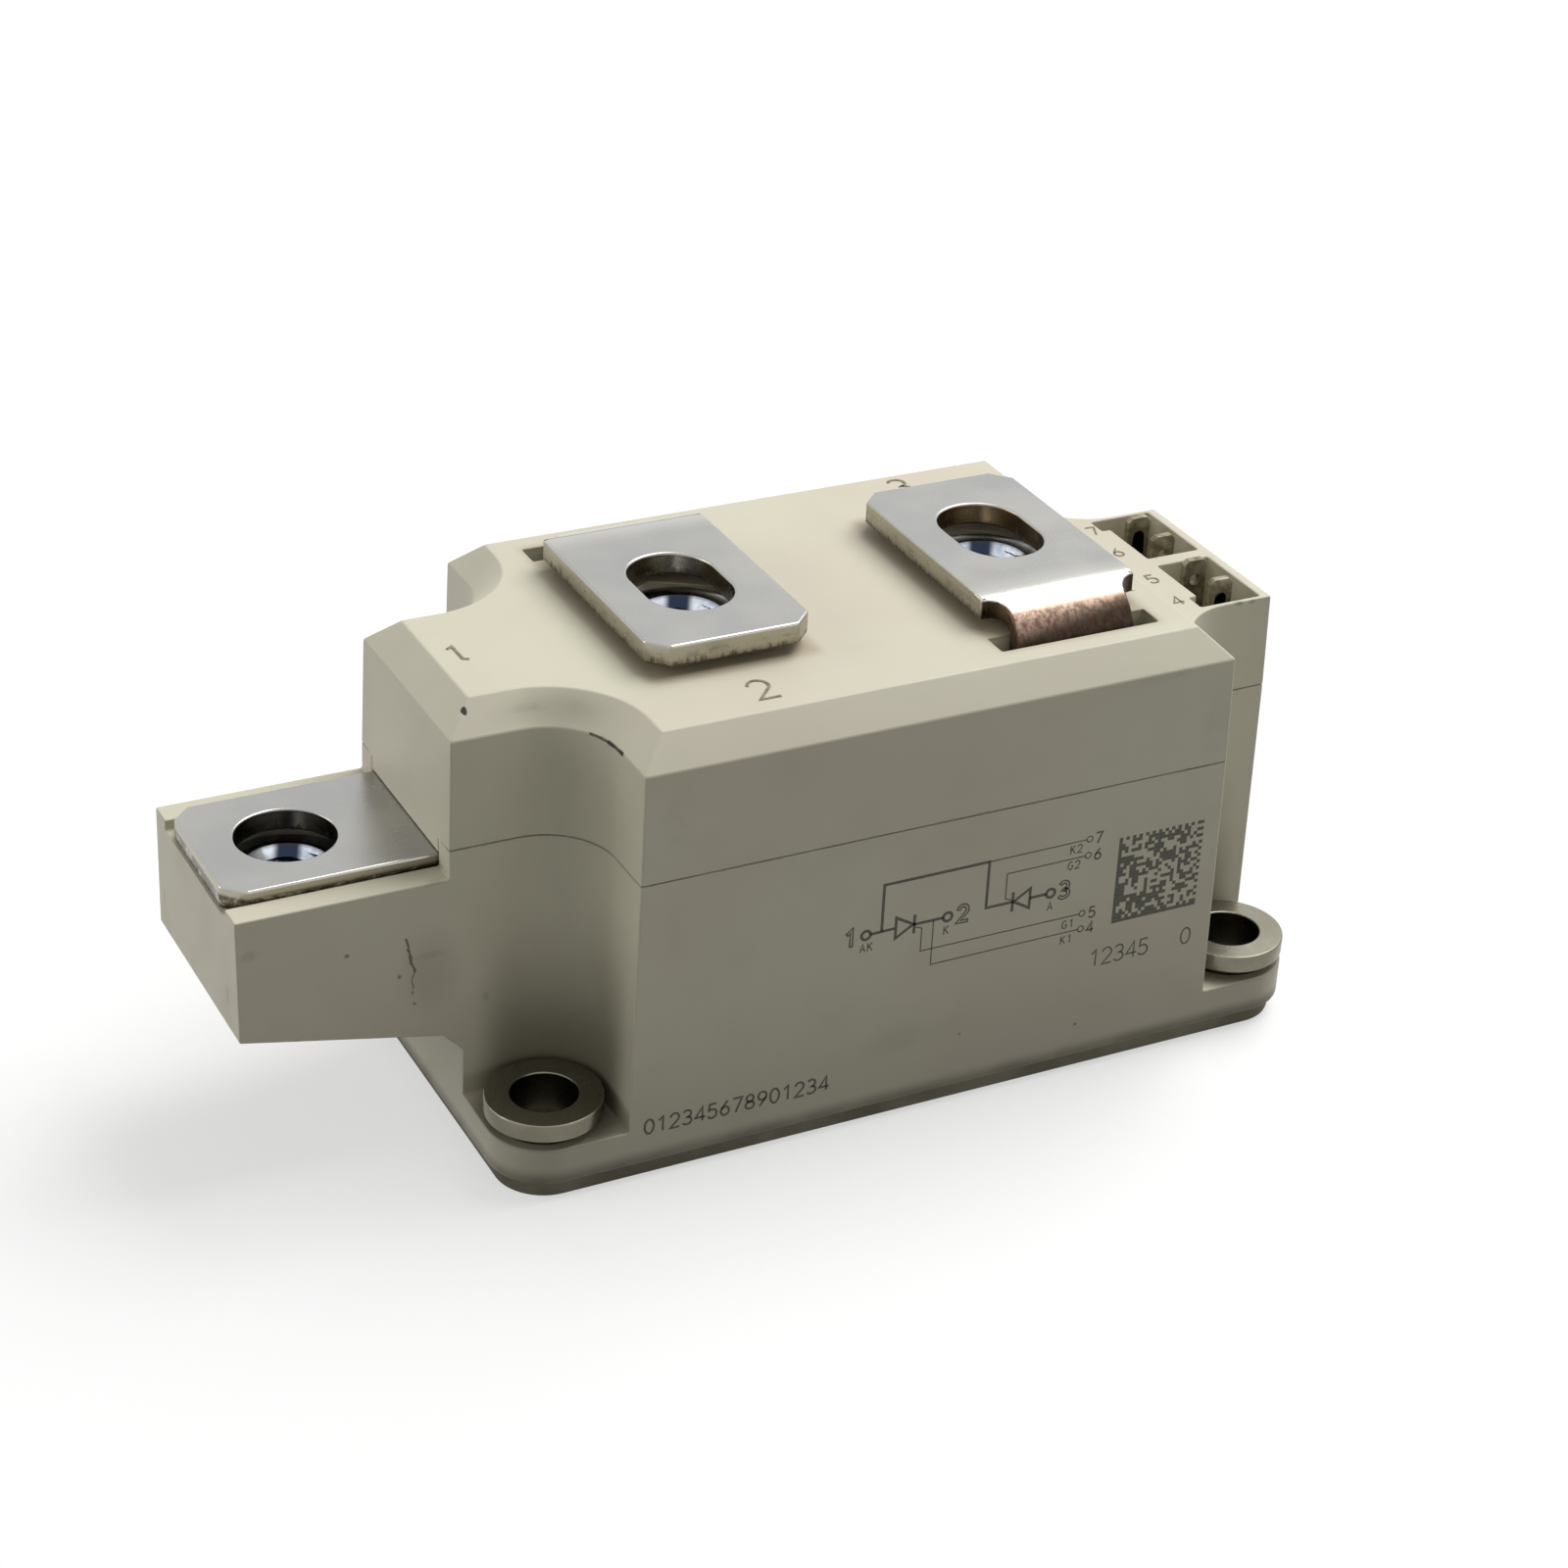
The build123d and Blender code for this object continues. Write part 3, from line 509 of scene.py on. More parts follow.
def terminal_finish(number, hole_reach, hole_shades, bend_side=0):
    """Tin plate: satin top, a hole wall painted dark as shade, torn sides with patches of grime and painted
    shade, and a stained bend if there is one.
    """
    low, high = (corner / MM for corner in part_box(f"terminal_{number}_bar"))
    top, middle = high.z, hole_axis(number)
    made = Finish(f"tin_plate_{number}", Metallic=1.0)
    z = made.axis("Z")
    wall = made.steep()
    smears = made.ramp(made.noise(12, detail=2, seed=2.0), 0.3, 0.7)
    fine = made.noise(0.3, detail=4, rough=0.65, seed=9.0)
    scratches = made.ramp(made.noise(0.3, detail=3, stretch=(0.05, 1, 1), seed=5.0), 0.66, 0.72)
    body = made.lay(smears, colour(168, 168, 167), colour(176, 175, 170))
    body = made.lay(scratches * 0.15, body, colour(196, 196, 193))
    body = made.lay(wall * 0.85, body, colour(166, 160, 143))
    streaks = made.noise(0.5, detail=4, rough=0.6, stretch=(1, 1, 0.4), seed=6.1)
    torn = made.ramp(streaks + (top - 1.7 - z) * 0.3, 0.5, 0.72) * wall
    body = made.lay(torn * 0.75, body, TORN_BROWN)
    body = made.lay(made.ramp(top - z, 1.4, 2.4) * wall * 0.5, body, TORN_BROWN)
    # painted shade: the wall of the hole is darkened, in the hole's own tone
    in_hole = made.spot((middle, 0, top), hole_reach, 0.04) * wall
    body = made.lay(in_hole, body, made.lay(smears, *hole_shades))
    rough = 0.2 + smears * 0.06 + fine * 0.1 + torn * 0.25
    # dark patches on the sides below the top edge: partly grime, partly painted shade; the straight plate
    # gets the most
    patchy, share = (0.48, 0.3) if bend_side else (0.38, 0.85)
    patches = made.noise(1.8, detail=5, rough=0.7, stretch=(0.6, 1, 1.4), seed=8.8)
    below_edge = made.ramp(top - z, 0.6, 1.1) * wall * (1 - in_hole)
    grime_and_wall_shade = made.ramp(patches, patchy, patchy + 0.12) * below_edge
    body = made.lay(grime_and_wall_shade * share, body, colour(60, 50, 34))
    if bend_side:
        outer = high.y if bend_side > 0 else low.y
        body, stain = stained_bend(made, body, wall, middle, outer, top, bend_side)
        rough = rough + stain * 0.12
    made.feed(Base_Color=body, Roughness=rough)
    made.bump(fine * 0.03 - scratches * 0.2 - torn * 0.6, 0.02, 0.6)
    return made.material


# painted shade of each hole's wall, darker and lighter tone
DARK_HOLE_SHADE = colour(66, 62, 54), colour(92, 87, 76)
GREY_HOLE_SHADE = colour(112, 102, 82), colour(142, 132, 106)
BROWN_HOLE_SHADE = colour(100, 81, 52), colour(132, 112, 80)
TERMINAL_1_TIN = terminal_finish(1, ROUND_HOLE, DARK_HOLE_SHADE)
TERMINAL_2_TIN = terminal_finish(2, LONG_HOLE, GREY_HOLE_SHADE, 1)
TERMINAL_3_TIN = terminal_finish(3, LONG_HOLE, BROWN_HOLE_SHADE, -1)
print("terminals:", [tin.name for tin in (TERMINAL_1_TIN, TERMINAL_2_TIN, TERMINAL_3_TIN)])

# %% [markdown]
# ## Turned steel
#
# The bushes are turned on a lathe, whose tool leaves rings a hundredth of a millimetre deep. As geometry
# they would cost thousands of faces, so a sine of the distance from the bush's axis draws them in the
# bump, a quarter of a millimetre apart. The bore is painted dark as shade, and the side of the rim is
# darker than the face that the screws have rubbed.

# %% Finish of the bushes
def turned_steel(name, tint, worn):
    """Steel with turned rings, a bore painted dark as shade, and a darker rim."""
    made = Finish(name, Metallic=1.0)
    radius = from_bush(made)
    rings = made.node("Math", {"operation": "SINE"}, {0: radius * 26})
    film = made.ramp(made.noise(4, detail=3, seed=3.3), 0.35, 0.7)
    in_bore = made.ramp(radius, 3.9, 3.5) * made.steep()
    rim_side = made.steep() * (1 - in_bore)
    body = made.lay(rim_side * 0.5, made.lay(film, tint, worn), colour(96, 92, 78))
    # painted shade: the bore is darkened
    body = made.lay(in_bore, body, colour(72, 68, 56))
    made.feed(Base_Color=body, Roughness=0.24 + film * 0.08)
    made.bump(rings * 0.5 + made.noise(0.2, seed=6.0) * 0.5, 0.012, 0.6)
    return made.material


BUSH_STEEL = turned_steel("turned_steel", colour(146, 143, 130), colour(130, 126, 111))
print("bushes:", BUSH_STEEL.name)

# %% [markdown]
# ## The other metals
#
# Most of these metals are nearly grey. What tells them apart is how sharp the reflection is, and at which
# scale it changes, so one function serves for the base plate, the tabs and all that is inside.

# %% Plain metals with a fine bump
def plain_metal(name, light, dark, size, roughness, depth=0.01, **constants):
    """A metal with patches of two tints, about `size` millimetres across, and a fine bump."""
    made = Finish(name, **{"Metallic": 1.0, **constants})
    patches = made.ramp(made.noise(size, detail=5, seed=1.1), 0.35, 0.65)
    fine = made.noise(0.3, detail=3, seed=4.7)
    made.feed(Base_Color=made.lay(patches, light, dark), Roughness=roughness + patches * 0.12 + fine * 0.08)
    made.bump(fine, depth, 0.6)
    return made.material


NICKEL = plain_metal("nickel_base", colour(96, 92, 78), colour(84, 80, 66), 8, 0.5, Metallic=0.7)
TAB_TIN = plain_metal("tab_tin", colour(150, 144, 124), colour(108, 100, 80), 1.2, 0.46)
CLAMP_STEEL = plain_metal("clamp_steel", colour(160, 158, 150), colour(120, 116, 108), 4, 0.36)
ANODE_METAL = plain_metal("anode_metal", colour(142, 142, 146), colour(120, 120, 124), 5, 0.4)
LEAD_COPPER = plain_metal("lead_copper", colour(196, 128, 92), colour(150, 84, 58), 2, 0.32)
SILICON = plain_metal("silicon_disc", colour(88, 90, 96), colour(70, 72, 80), 6, 0.12, 0.002)
print("inside:", [metal.name for metal in (CLAMP_STEEL, ANODE_METAL, LEAD_COPPER, SILICON)])

# %% [markdown]
# ## Zinc of the nuts
#
# Each nut lies deep in its pocket. Its zinc is bluish; two bright lobes on the turned countersink are a
# painted highlight, the dark band between them a painted reflection, and the flat face round it is painted
# dark as a reflection of the plate above. A reflection that is stretched along the turning marks would
# give such lobes too, but it hangs on how the mesh is laid out. A band drawn across the nut's own axis
# stays in its place, and so each nut has a finish of its own.

# %% Zinc of one nut
def zinc_finish(number):
    """Bluish zinc with two lobes of painted highlight, a painted dark reflection between them and a flat
    face outside painted dark as a reflection.
    """
    made = Finish(f"zinc_nut_{number}", Metallic=1.0)
    x, y = made.axis("X") - hole_axis(number), made.axis("Y")
    across = x * 0.88 - y * 0.47
    # painted highlight in two lobes across the nut; the dark bluish band between them is a painted
    # reflection
    highlight_lobes = made.ramp(abs(across + 0.45), 0.8, 1.7)
    film = made.ramp(made.noise(1.4, detail=3, seed=1.1), 0.3, 0.7)
    zinc = made.lay(film, colour(226, 231, 238), colour(172, 182, 200))
    tint = made.lay(highlight_lobes, colour(46, 55, 74), zinc)
    radius = made.vector("LENGTH", made.node("CombineXYZ", values={0: x, 1: y}), out="Value")
    # painted reflection: the flat face outside the countersink is darkened
    tint = made.lay(made.ramp(radius, 4.2, 4.6) * 0.8, tint, colour(58, 54, 44))
    made.feed(Base_Color=tint, Roughness=0.14 + film * 0.1)
    made.bump(made.noise(0.3, seed=4.7), 0.008, 0.6)
    return made.material


ZINC_OF_NUT = {number: zinc_finish(number) for number in (1, 2, 3)}
print("nuts stand at x =", [round(hole_axis(number), 2) for number in ZINC_OF_NUT])

# %% [markdown]
# ## Ceramic, caps and ink
#
# What isn't metal and isn't the housing is small or out of sight: ceramic discs, dark caps, the ink of
# the print, and the raised numerals, whose brown is painted shade along their strokes. Two tints and a
# fine bump are enough for them.

# %% Plain solids
def plain_solid(name, light, dark, size, roughness, depth=0.01):
    """A solid that isn't metal, in patches of two tints."""
    made = Finish(name)
    patches = made.ramp(made.noise(size, detail=4, seed=2.9), 0.35, 0.65)
    fine = made.noise(0.2, detail=3, seed=7.1)
    made.feed(Base_Color=made.lay(patches, light, dark), Roughness=roughness + fine * 0.1)
    made.bump(fine, depth, 0.5)
    return made.material


CERAMIC = plain_solid("ceramic_disc", colour(232, 230, 224), colour(222, 219, 210), 3, 0.4)
CAP_PLASTIC = plain_solid("cap_plastic", colour(54, 52, 50), colour(44, 43, 42), 3, 0.45)
INK = plain_solid("marking_ink", colour(58, 56, 44), colour(74, 71, 57), 0.5, 0.5)
# painted shade: the raised numerals are laid in a dark brown
SHADED_NUMERAL = plain_solid("moulded_numeral", colour(108, 98, 76), colour(150, 139, 113), 0.6, 0.5)
print("finishes:", len(bpy.data.materials))

# %% [markdown]
# ## Dress the inner pieces
#
# The stacks of discs, springs and leads can't be seen while the cover is on, but whoever opens the model
# finds them. Their CAD shapes are right, so each keeps its mesh and only gets its finish.

# %% Finish of every CAD node
FINISH_OF_SLOT = {
    "housing_plastic": HOUSING_PLASTIC, "base_metal": NICKEL, "terminal_plate": TERMINAL_1_TIN,
    "nut_steel": ZINC_OF_NUT[1], "bush_steel": BUSH_STEEL, "tab_metal": TAB_TIN, "ceramic": CERAMIC,
    "anode_metal": ANODE_METAL, "silicon": SILICON, "cap_plastic": CAP_PLASTIC, "clamp_steel": CLAMP_STEEL,
    "lead_copper": LEAD_COPPER,
}
SLOT_OF_NODE = {part["node"]: part["material_slot"] for part in frame["record"]["subparts"]}
for node, piece in frame["nodes"].items():
    for place in piece.material_slots:
        place.material = FINISH_OF_SLOT[SLOT_OF_NODE[node]]
print("nodes dressed:", len(frame["nodes"]))

# %% [markdown]
# ## Soft edges
#
# Nothing real has a perfectly sharp edge, and the thin bright line along a rounded one is what makes a
# plate look like metal. The CAD solids are sharp, so each visible one is copied and the copy gets a bevel
# of about a quarter of a millimetre. The flat faces are first joined into single large ones, because a
# bevel follows the edges of faces, and weighted normals then keep those large faces flat while the bevel
# catches the light. The mouldings' long sides are drawn in by a hair, which leaves room for the ink
# within the size of the CAD model.

# %% Work modifiers into a mesh
def baked(piece, steps):
    """Put modifiers on a piece and work them into its mesh."""
    for kind, settings in steps:
        step = piece.modifiers.new(kind.lower(), kind)
        for name, value in settings.items():
            setattr(step, name, value)
    seen_now = piece.evaluated_get(bpy.context.evaluated_depsgraph_get())
    worked = bpy.data.meshes.new_from_object(seen_now)
    piece.modifiers.clear()
    piece.data = worked


def add_piece(name, mesh, material):
    """A new piece that rides on the body and takes the finish it is given."""
    piece = added(name, mesh)
    mesh.materials.append(material)
    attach(piece, "root")
    return piece


# %% Copy a solid and soften it
HALF_WIDTH = round(cad_box[1][1] / MM, 3)


def softened(node, material, radius, inset=0.0, cutter=None):
    """A copy of a CAD node with rounded edges stands in for it; a cutter may take some of it away first."""
    solid = bmesh.new()
    solid.from_mesh(frame["nodes"][node].data)
    bmesh.ops.remove_doubles(solid, verts=solid.verts, dist=0.001 * MM)
    bmesh.ops.dissolve_limit(solid, angle_limit=math.radians(0.8), verts=solid.verts, edges=solid.edges)
    limit = (HALF_WIDTH - inset) * MM
    for vert in solid.verts:
        vert.co.y = max(-limit, min(limit, vert.co.y))
    mesh = bpy.data.meshes.new(node + "_soft")
    solid.to_mesh(mesh)
    solid.free()
    piece = add_piece(node + "_soft", mesh, material)
    if cutter:
        baked(piece, [("BOOLEAN", {"operation": "DIFFERENCE", "solver": "EXACT", "object": cutter})])
        baked(piece, [("WELD", {"merge_threshold": 0.03 * MM})])
        bpy.data.objects.remove(cutter)
    baked(piece, [("BEVEL", {"width": radius * MM, "segments": 2, "limit_method": "ANGLE",
                             "angle_limit": math.radians(24), "use_clamp_overlap": False,
                             "miter_outer": "MITER_ARC"})])
    low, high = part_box(node)
    for vert in piece.data.vertices:
        for axis in range(3):
            vert.co[axis] = max(low[axis], min(high[axis], vert.co[axis]))
    piece.data.shade_smooth()
    piece.data.set_sharp_from_angle(angle=math.radians(34))
    baked(piece, [("WEIGHTED_NORMAL", {"keep_sharp": True, "weight": 80})])
    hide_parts(node)
    print(f"{piece.name}: {len(piece.data.polygons)} faces")


# %% The moulded parts and the base
INSET = 0.03
softened("lower_housing", HOUSING_PLASTIC, 0.18, INSET)
softened("top_cover", COVER_PLASTIC, 0.18, INSET)
softened("base_plate", NICKEL, 0.25)

# %% [markdown]
# ### The outside of a bend
#
# A press brake stretches the sheet on the outside of a bend, and the two bent plates are rounder there
# than their CAD solids, which have one thickness all the way. A bevel can't make a second, larger round
# on top of the first, so a prism with the rounder outline is taken away from the copy by a Boolean,
# before its edges are softened.

# %% A cutter for the outside of a bend
BEND_ROUND = 6.0


def bend_cutter(node, side):
    """What lies outside a rounder bend, at the far (1) or near (-1) side of a bar."""
    low, high = (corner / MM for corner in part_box(node))
    face, top = max(high.y * side, low.y * side), high.z
    inner, lower = face - BEND_ROUND, top - BEND_ROUND
    outline = [(inner + BEND_ROUND * math.sin(turn), lower + BEND_ROUND * math.cos(turn))
               for turn in (math.radians(k * 6) for k in range(16))]
    outline += [(face + 1, lower), (face + 1, top + 1), (inner, top + 1)]
    count = len(outline)
    points = [(x * MM, y * side * MM, z * MM) for x in (low.x - 1, high.x + 1) for y, z in outline]
    faces = [(i, (i + 1) % count, count + (i + 1) % count, count + i) for i in range(count)]
    mesh = bpy.data.meshes.new("bend_cutter")
    mesh.from_pydata(points, [], faces + [tuple(range(count)), tuple(range(count, 2 * count))])
    solid = bmesh.new()
    solid.from_mesh(mesh)
    bmesh.ops.recalc_face_normals(solid, faces=solid.faces)
    solid.to_mesh(mesh)
    solid.free()
    return added("bend_cutter", mesh)


# %% The plates, bushes and tabs
softened("terminal_1_bar", TERMINAL_1_TIN, 0.3)
softened("terminal_2_bar", TERMINAL_2_TIN, 0.3, cutter=bend_cutter("terminal_2_bar", 1))
softened("terminal_3_bar", TERMINAL_3_TIN, 0.3, cutter=bend_cutter("terminal_3_bar", -1))
for corner in range(1, 5):
    softened(f"mount_bush_{corner}", BUSH_STEEL, 0.2)
for tab in range(4, 8):
    softened(f"control_tab_{tab}", TAB_TIN, 0.1)

# %% [markdown]
# ## Nuts with a real thread
#
# Through the hole of each plate you look down into an M8 nut. A thread could be faked with a bump, but a
# bump has no outline, and here the crests stand against the light. So the nut is spun from one closed
# profile: at each of its 72 angles the bore's radius follows a triangle wave, which climbs by one pitch a
# turn, and the outside follows a hexagon whose corners are cut by a cone, as a real nut's are.

# %% Spin a nut
NUT_FLATS, NUT_HEIGHT, PITCH = 13.0, 6.5, 1.25
MINOR, MAJOR, SINK = 3.4, 4.0, 4.5
TURNS, ROWS = 72, 47


def bore_radius(angle, z):
    """Radius of the threaded bore at an angle and a depth; a countersink opens both ends."""
    turn = (z / PITCH + angle / math.tau) % 1.0
    tooth = MINOR + (MAJOR - MINOR) * min(1, max(0, 1.25 - 2.5 * abs(turn - 0.5)))
    from_end = min(z, NUT_HEIGHT - z)
    return max(tooth, SINK - from_end)


def hexagon_radius(angle):
    """Radius of the hexagon at an angle."""
    inside = (angle + math.radians(30)) % math.radians(60) - math.radians(30)
    return NUT_FLATS / 2 / math.cos(inside)


def nut_profile(angle):
    """One closed outline of radius and height, from the bore round the outside and back."""
    depths = [NUT_HEIGHT * i / ROWS for i in range(ROWS + 1)]
    bore = [(bore_radius(angle, depth), -depth) for depth in depths]
    corner = hexagon_radius(angle)
    washer = NUT_FLATS / 2 * 0.96
    cut = max(0.02, (corner - washer) * 0.5)
    outside = [(washer, -NUT_HEIGHT), (corner, -NUT_HEIGHT + cut), (corner, -cut), (washer, 0)]
    return bore + outside


# %% Place the nuts
def threaded_nut(number):
    """A nut with its thread, in place of the plain one."""
    node, name = f"terminal_{number}_nut", f"threaded_nut_{number}"
    axis, top = hole_axis(number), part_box(node)[1].z / MM
    points, faces = [], []
    for k in range(TURNS):
        angle = k * math.tau / TURNS
        for radius, height in nut_profile(angle):
            point = (axis + radius * math.cos(angle), radius * math.sin(angle), top + height)
            points.append([v * MM for v in point])
    count = len(points) // TURNS
    for k in range(TURNS):
        for i in range(count):
            j, n = (i + 1) % count, (k + 1) % TURNS
            faces.append((k * count + i, k * count + j, n * count + j, n * count + i))
    mesh = bpy.data.meshes.new(name)
    mesh.from_pydata(points, [], faces)
    mesh.update()
    piece = add_piece(name, mesh, ZINC_OF_NUT[number])
    mesh.shade_smooth()
    mesh.set_sharp_from_angle(angle=math.radians(28))
    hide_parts(node)
    print(f"{name}: {len(faces)} faces")


for number in (1, 2, 3):
    threaded_nut(number)

# %% [markdown]
# ## Drawing with ribbons
#
# Numerals, the circuit diagram and the small print are all lines of an even width. A font would bring its
# own shapes and a licence, and an image texture isn't sharp from near by. So a line is a list of points
# on a flat sheet, and a ribbon is laid along it: two edges, half a width to each side, mitred where the
# line turns. A ribbon has a small height, so that it catches light at its sides as ink or a moulded ridge
# does.

# %% Lay a ribbon along points
def ribbon_edges(points, width, closed):
    """Points to the left and right of a line, mitred at its corners."""
    count = len(points)
    left, right_side = [], []
    for i, here in enumerate(points):
        before = points[i - 1] if i or closed else None
        after = points[(i + 1) % count] if i < count - 1 or closed else None
        arms = [(b - a).normalized() for a, b in ((before, here), (here, after))
                if a is not None and b is not None]
        along = sum(arms, Vector((0, 0))).normalized()
        across = Vector((-along.y, along.x))
        reach = width / 2 / max(0.5, across.dot(Vector((-arms[0].y, arms[0].x))))
        left.append(here + across * reach)
        right_side.append(here - across * reach)
    return left, right_side


# %% Ribbons as a piece
def draw(name, lines, lay, height, material, patches=()):
    """Ribbons and patches as one piece; `lay` turns a point of the sheet and a height into a place."""
    points, faces = [], []

    def strip(left, right_side, closed):
        first = len(points)
        for one, other in zip(left, right_side):
            points.extend((lay(one, 0), lay(one, height), lay(other, height), lay(other, 0)))
        count = len(left)
        for i in range(count if closed else count - 1):
            a, b = first + 4 * i, first + 4 * ((i + 1) % count)
            faces.extend([(a, b, b + 1, a + 1), (a + 1, b + 1, b + 2, a + 2), (a + 2, b + 2, b + 3, a + 3)])
        if not closed:
            faces.append((first, first + 1, first + 2, first + 3))
            last = first + 4 * (count - 1)
            faces.append((last + 3, last + 2, last + 1, last))

    for line, width, closed in lines:
        strip(*ribbon_edges([Vector(p) for p in line], width, closed), closed)
    for low, high in patches:
        foot = [Vector(low), Vector((high[0], low[1]))]
        head = [Vector((low[0], high[1])), Vector(high)]
        strip(foot, head, False)
    mesh = bpy.data.meshes.new(name)
    mesh.from_pydata([p * MM for p in points], [], faces)
    mesh.update()
    add_piece(name, mesh, material)
    print(f"{name}: {len(faces)} faces")


# %% [markdown]
# ## A plain set of figures
#
# Ten figures, a worn 1 and three letters are enough here. Each is a line or two in a box one unit high,
# made of straight runs and arcs, as an engraver's template has them. Scaling the box gives the large
# numerals of the roof and the small print.

# %% Figures as lines
def arc(cx, cy, rx, ry, start, end, steps=14):
    """Points along part of an ellipse, from one angle to another in degrees."""
    angles = [math.radians(start + (end - start) * k / steps) for k in range(steps + 1)]
    return [(cx + rx * math.cos(a), cy + ry * math.sin(a)) for a in angles]


FIGURES = {
    "0": [arc(0.3, 0.5, 0.28, 0.48, 90, 450, 28)],
    "1": [[(0.1, 0.76), (0.36, 0.98), (0.36, 0.02)]],
    "l": [[(0.0, 0.84), (0.2, 0.98), (0.22, 0.06), (0.4, -0.02)]],
    "2": [arc(0.3, 0.7, 0.27, 0.28, 170, -35) + [(0.04, 0.02), (0.6, 0.02)]],
    "3": [arc(0.28, 0.74, 0.25, 0.24, 150, -90) + arc(0.28, 0.27, 0.29, 0.25, 82, -150)],
    "4": [[(0.46, 0.02), (0.46, 0.98), (0.02, 0.28), (0.64, 0.28)]],
    "5": [[(0.54, 0.98), (0.12, 0.98), (0.08, 0.56)] + arc(0.28, 0.32, 0.29, 0.3, 120, -150)],
    "6": [[(0.46, 0.98), (0.1, 0.5)] + arc(0.3, 0.3, 0.26, 0.28, 155, 515, 26)],
    "7": [[(0.02, 0.98), (0.58, 0.98), (0.2, 0.02)]],
    "8": [arc(0.3, 0.74, 0.22, 0.24, 90, 450, 24), arc(0.3, 0.27, 0.27, 0.25, 90, 450, 24)],
    "9": [[(0.14, 0.02), (0.5, 0.5)] + arc(0.3, 0.7, 0.26, 0.28, -25, 335, 26)],
    "A": [[(0.0, 0.0), (0.3, 1.0), (0.6, 0.0)], [(0.12, 0.36), (0.48, 0.36)]],
    "G": [arc(0.3, 0.5, 0.28, 0.48, 45, 330, 20) + [(0.56, 0.48), (0.36, 0.48)]],
    "K": [[(0.06, 0.0), (0.06, 1.0)], [(0.56, 1.0), (0.06, 0.42)], [(0.22, 0.6), (0.6, 0.0)]],
}


def figure_lines(text, centre, size, width, spacing=0.86):
    """The lines of some figures, centred on a point of the sheet."""
    pen = centre[0] - (len(text) - 1) * spacing * size / 2 - 0.3 * size
    lines = []
    for sign in text:
        for stroke in FIGURES[sign]:
            path = [(pen + px * size, centre[1] + (py - 0.5) * size) for px, py in stroke]
            lines.append((path, width, False))
        pen += spacing * size
    return lines


print("signs in the set:", "".join(FIGURES))

# %% [markdown]
# ### Numerals of the roof
#
# The terminals are numbered 1 to 3 on the roof, and the tabs 4 to 7 beside their sockets, on the plug
# block's lower roof. A mould's engraving leaves them raised by less than a tenth of a millimetre. They
# could be joined to the cover by a Boolean, but ribbons that lie on it look the same and leave its mesh
# as it is. The frame has no box for the plug block's roof, so that height is kept as a number.

# %% Raised numerals
COVER_TOP, PLUG_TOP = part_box("top_cover")[1].z / MM, 44.45


def on_level(level):
    """Turns a point of the sheet into a place on level plastic."""
    return lambda point, height: Vector((point.x, point.y, level + height))


large, small = [], []
for sign, x, y, size in (("l", -41.15, 0.05, 3.1), ("2", -17.3, -17.75, 3.9), ("3", 17.6, 18.9, 3.7)):
    large += figure_lines(sign, (x, y), size, 0.3)
draw("terminal_numerals", large, on_level(COVER_TOP), 0.08, SHADED_NUMERAL)
for sign, x, y in (("7", 36.4, 9.0), ("6", 36.0, 3.4), ("5", 36.0, -3.6), ("4", 35.7, -9.0)):
    small += figure_lines(sign, (x, y), 1.9, 0.2)
draw("tab_numerals", small, on_level(PLUG_TOP), 0.06, SHADED_NUMERAL)

# %% [markdown]
# ## The circuit diagram
#
# The long side carries the circuit in dark ink: two thyristors in series, the wide lines for the load
# current and the hair lines for the gates. The sheet here is the near face, with x to the right and z up,
# and each symbol is a few ribbons: a triangle, a bar and circles for the terminals.

# %% Diagram
NEAR = -HALF_WIDTH + INSET


def on_near_face(point, height):
    """Turns a point of the sheet into a place on the near face."""
    return Vector((point.x, NEAR - height, point.y))


def ring(centre, radius, width):
    """A closed line round a point."""
    return arc(centre[0], centre[1], radius, radius, 0, 360, 20)[:-1], width, True


BOLD, HAIR, INK_HEIGHT = 0.32, 0.13, 0.012
diagram = [
    ring((-8.15, 22.85), 0.5, BOLD), ring((1.1, 22.85), 0.5, BOLD), ring((13.05, 22.85), 0.5, BOLD),
    ring((17.15, 28.3), 0.34, HAIR), ring((17.15, 26.4), 0.34, HAIR),
    ring((17.1, 19.5), 0.34, HAIR), ring((17.1, 17.65), 0.34, HAIR),
    ([(-7.65, 22.85), (-4.9, 22.9)], BOLD, False),
    ([(-6.4, 22.9), (-6.4, 28.25), (5.5, 28.25), (5.5, 22.85), (8.5, 22.85)], BOLD, False),
    ([(-2.7, 22.85), (0.6, 22.85)], BOLD, False),
    ([(-4.8, 24.1), (-4.8, 21.7), (-2.8, 22.9)], BOLD, True),
    ([(-2.7, 24.0), (-2.7, 21.8)], BOLD, False),
    ([(10.6, 24.0), (10.6, 21.7), (8.7, 22.85)], BOLD, True),
    ([(8.6, 24.0), (8.6, 21.7)], BOLD, False),
    ([(10.6, 22.85), (12.55, 22.85)], BOLD, False),
    ([(5.5, 28.25), (16.8, 28.3)], HAIR, False),
    ([(8.5, 23.1), (7.7, 23.4), (7.7, 26.35), (16.8, 26.4)], HAIR, False),
    ([(-2.5, 22.5), (-1.8, 22.2), (-1.8, 19.5), (16.75, 19.5)], HAIR, False),
    ([(-0.5, 22.8), (-0.5, 17.6), (16.75, 17.65)], HAIR, False),
]
for sign, x, z in (("1", -9.9, 22.85), ("2", 2.85, 22.85), ("3", 14.65, 22.9)):
    for stroke, _, _ in figure_lines(sign, (x, z), 1.95, BOLD):
        left, right_side = ribbon_edges([Vector(p) for p in stroke], BOLD, False)
        diagram.append((left + right_side[::-1], HAIR * 1.35, True))
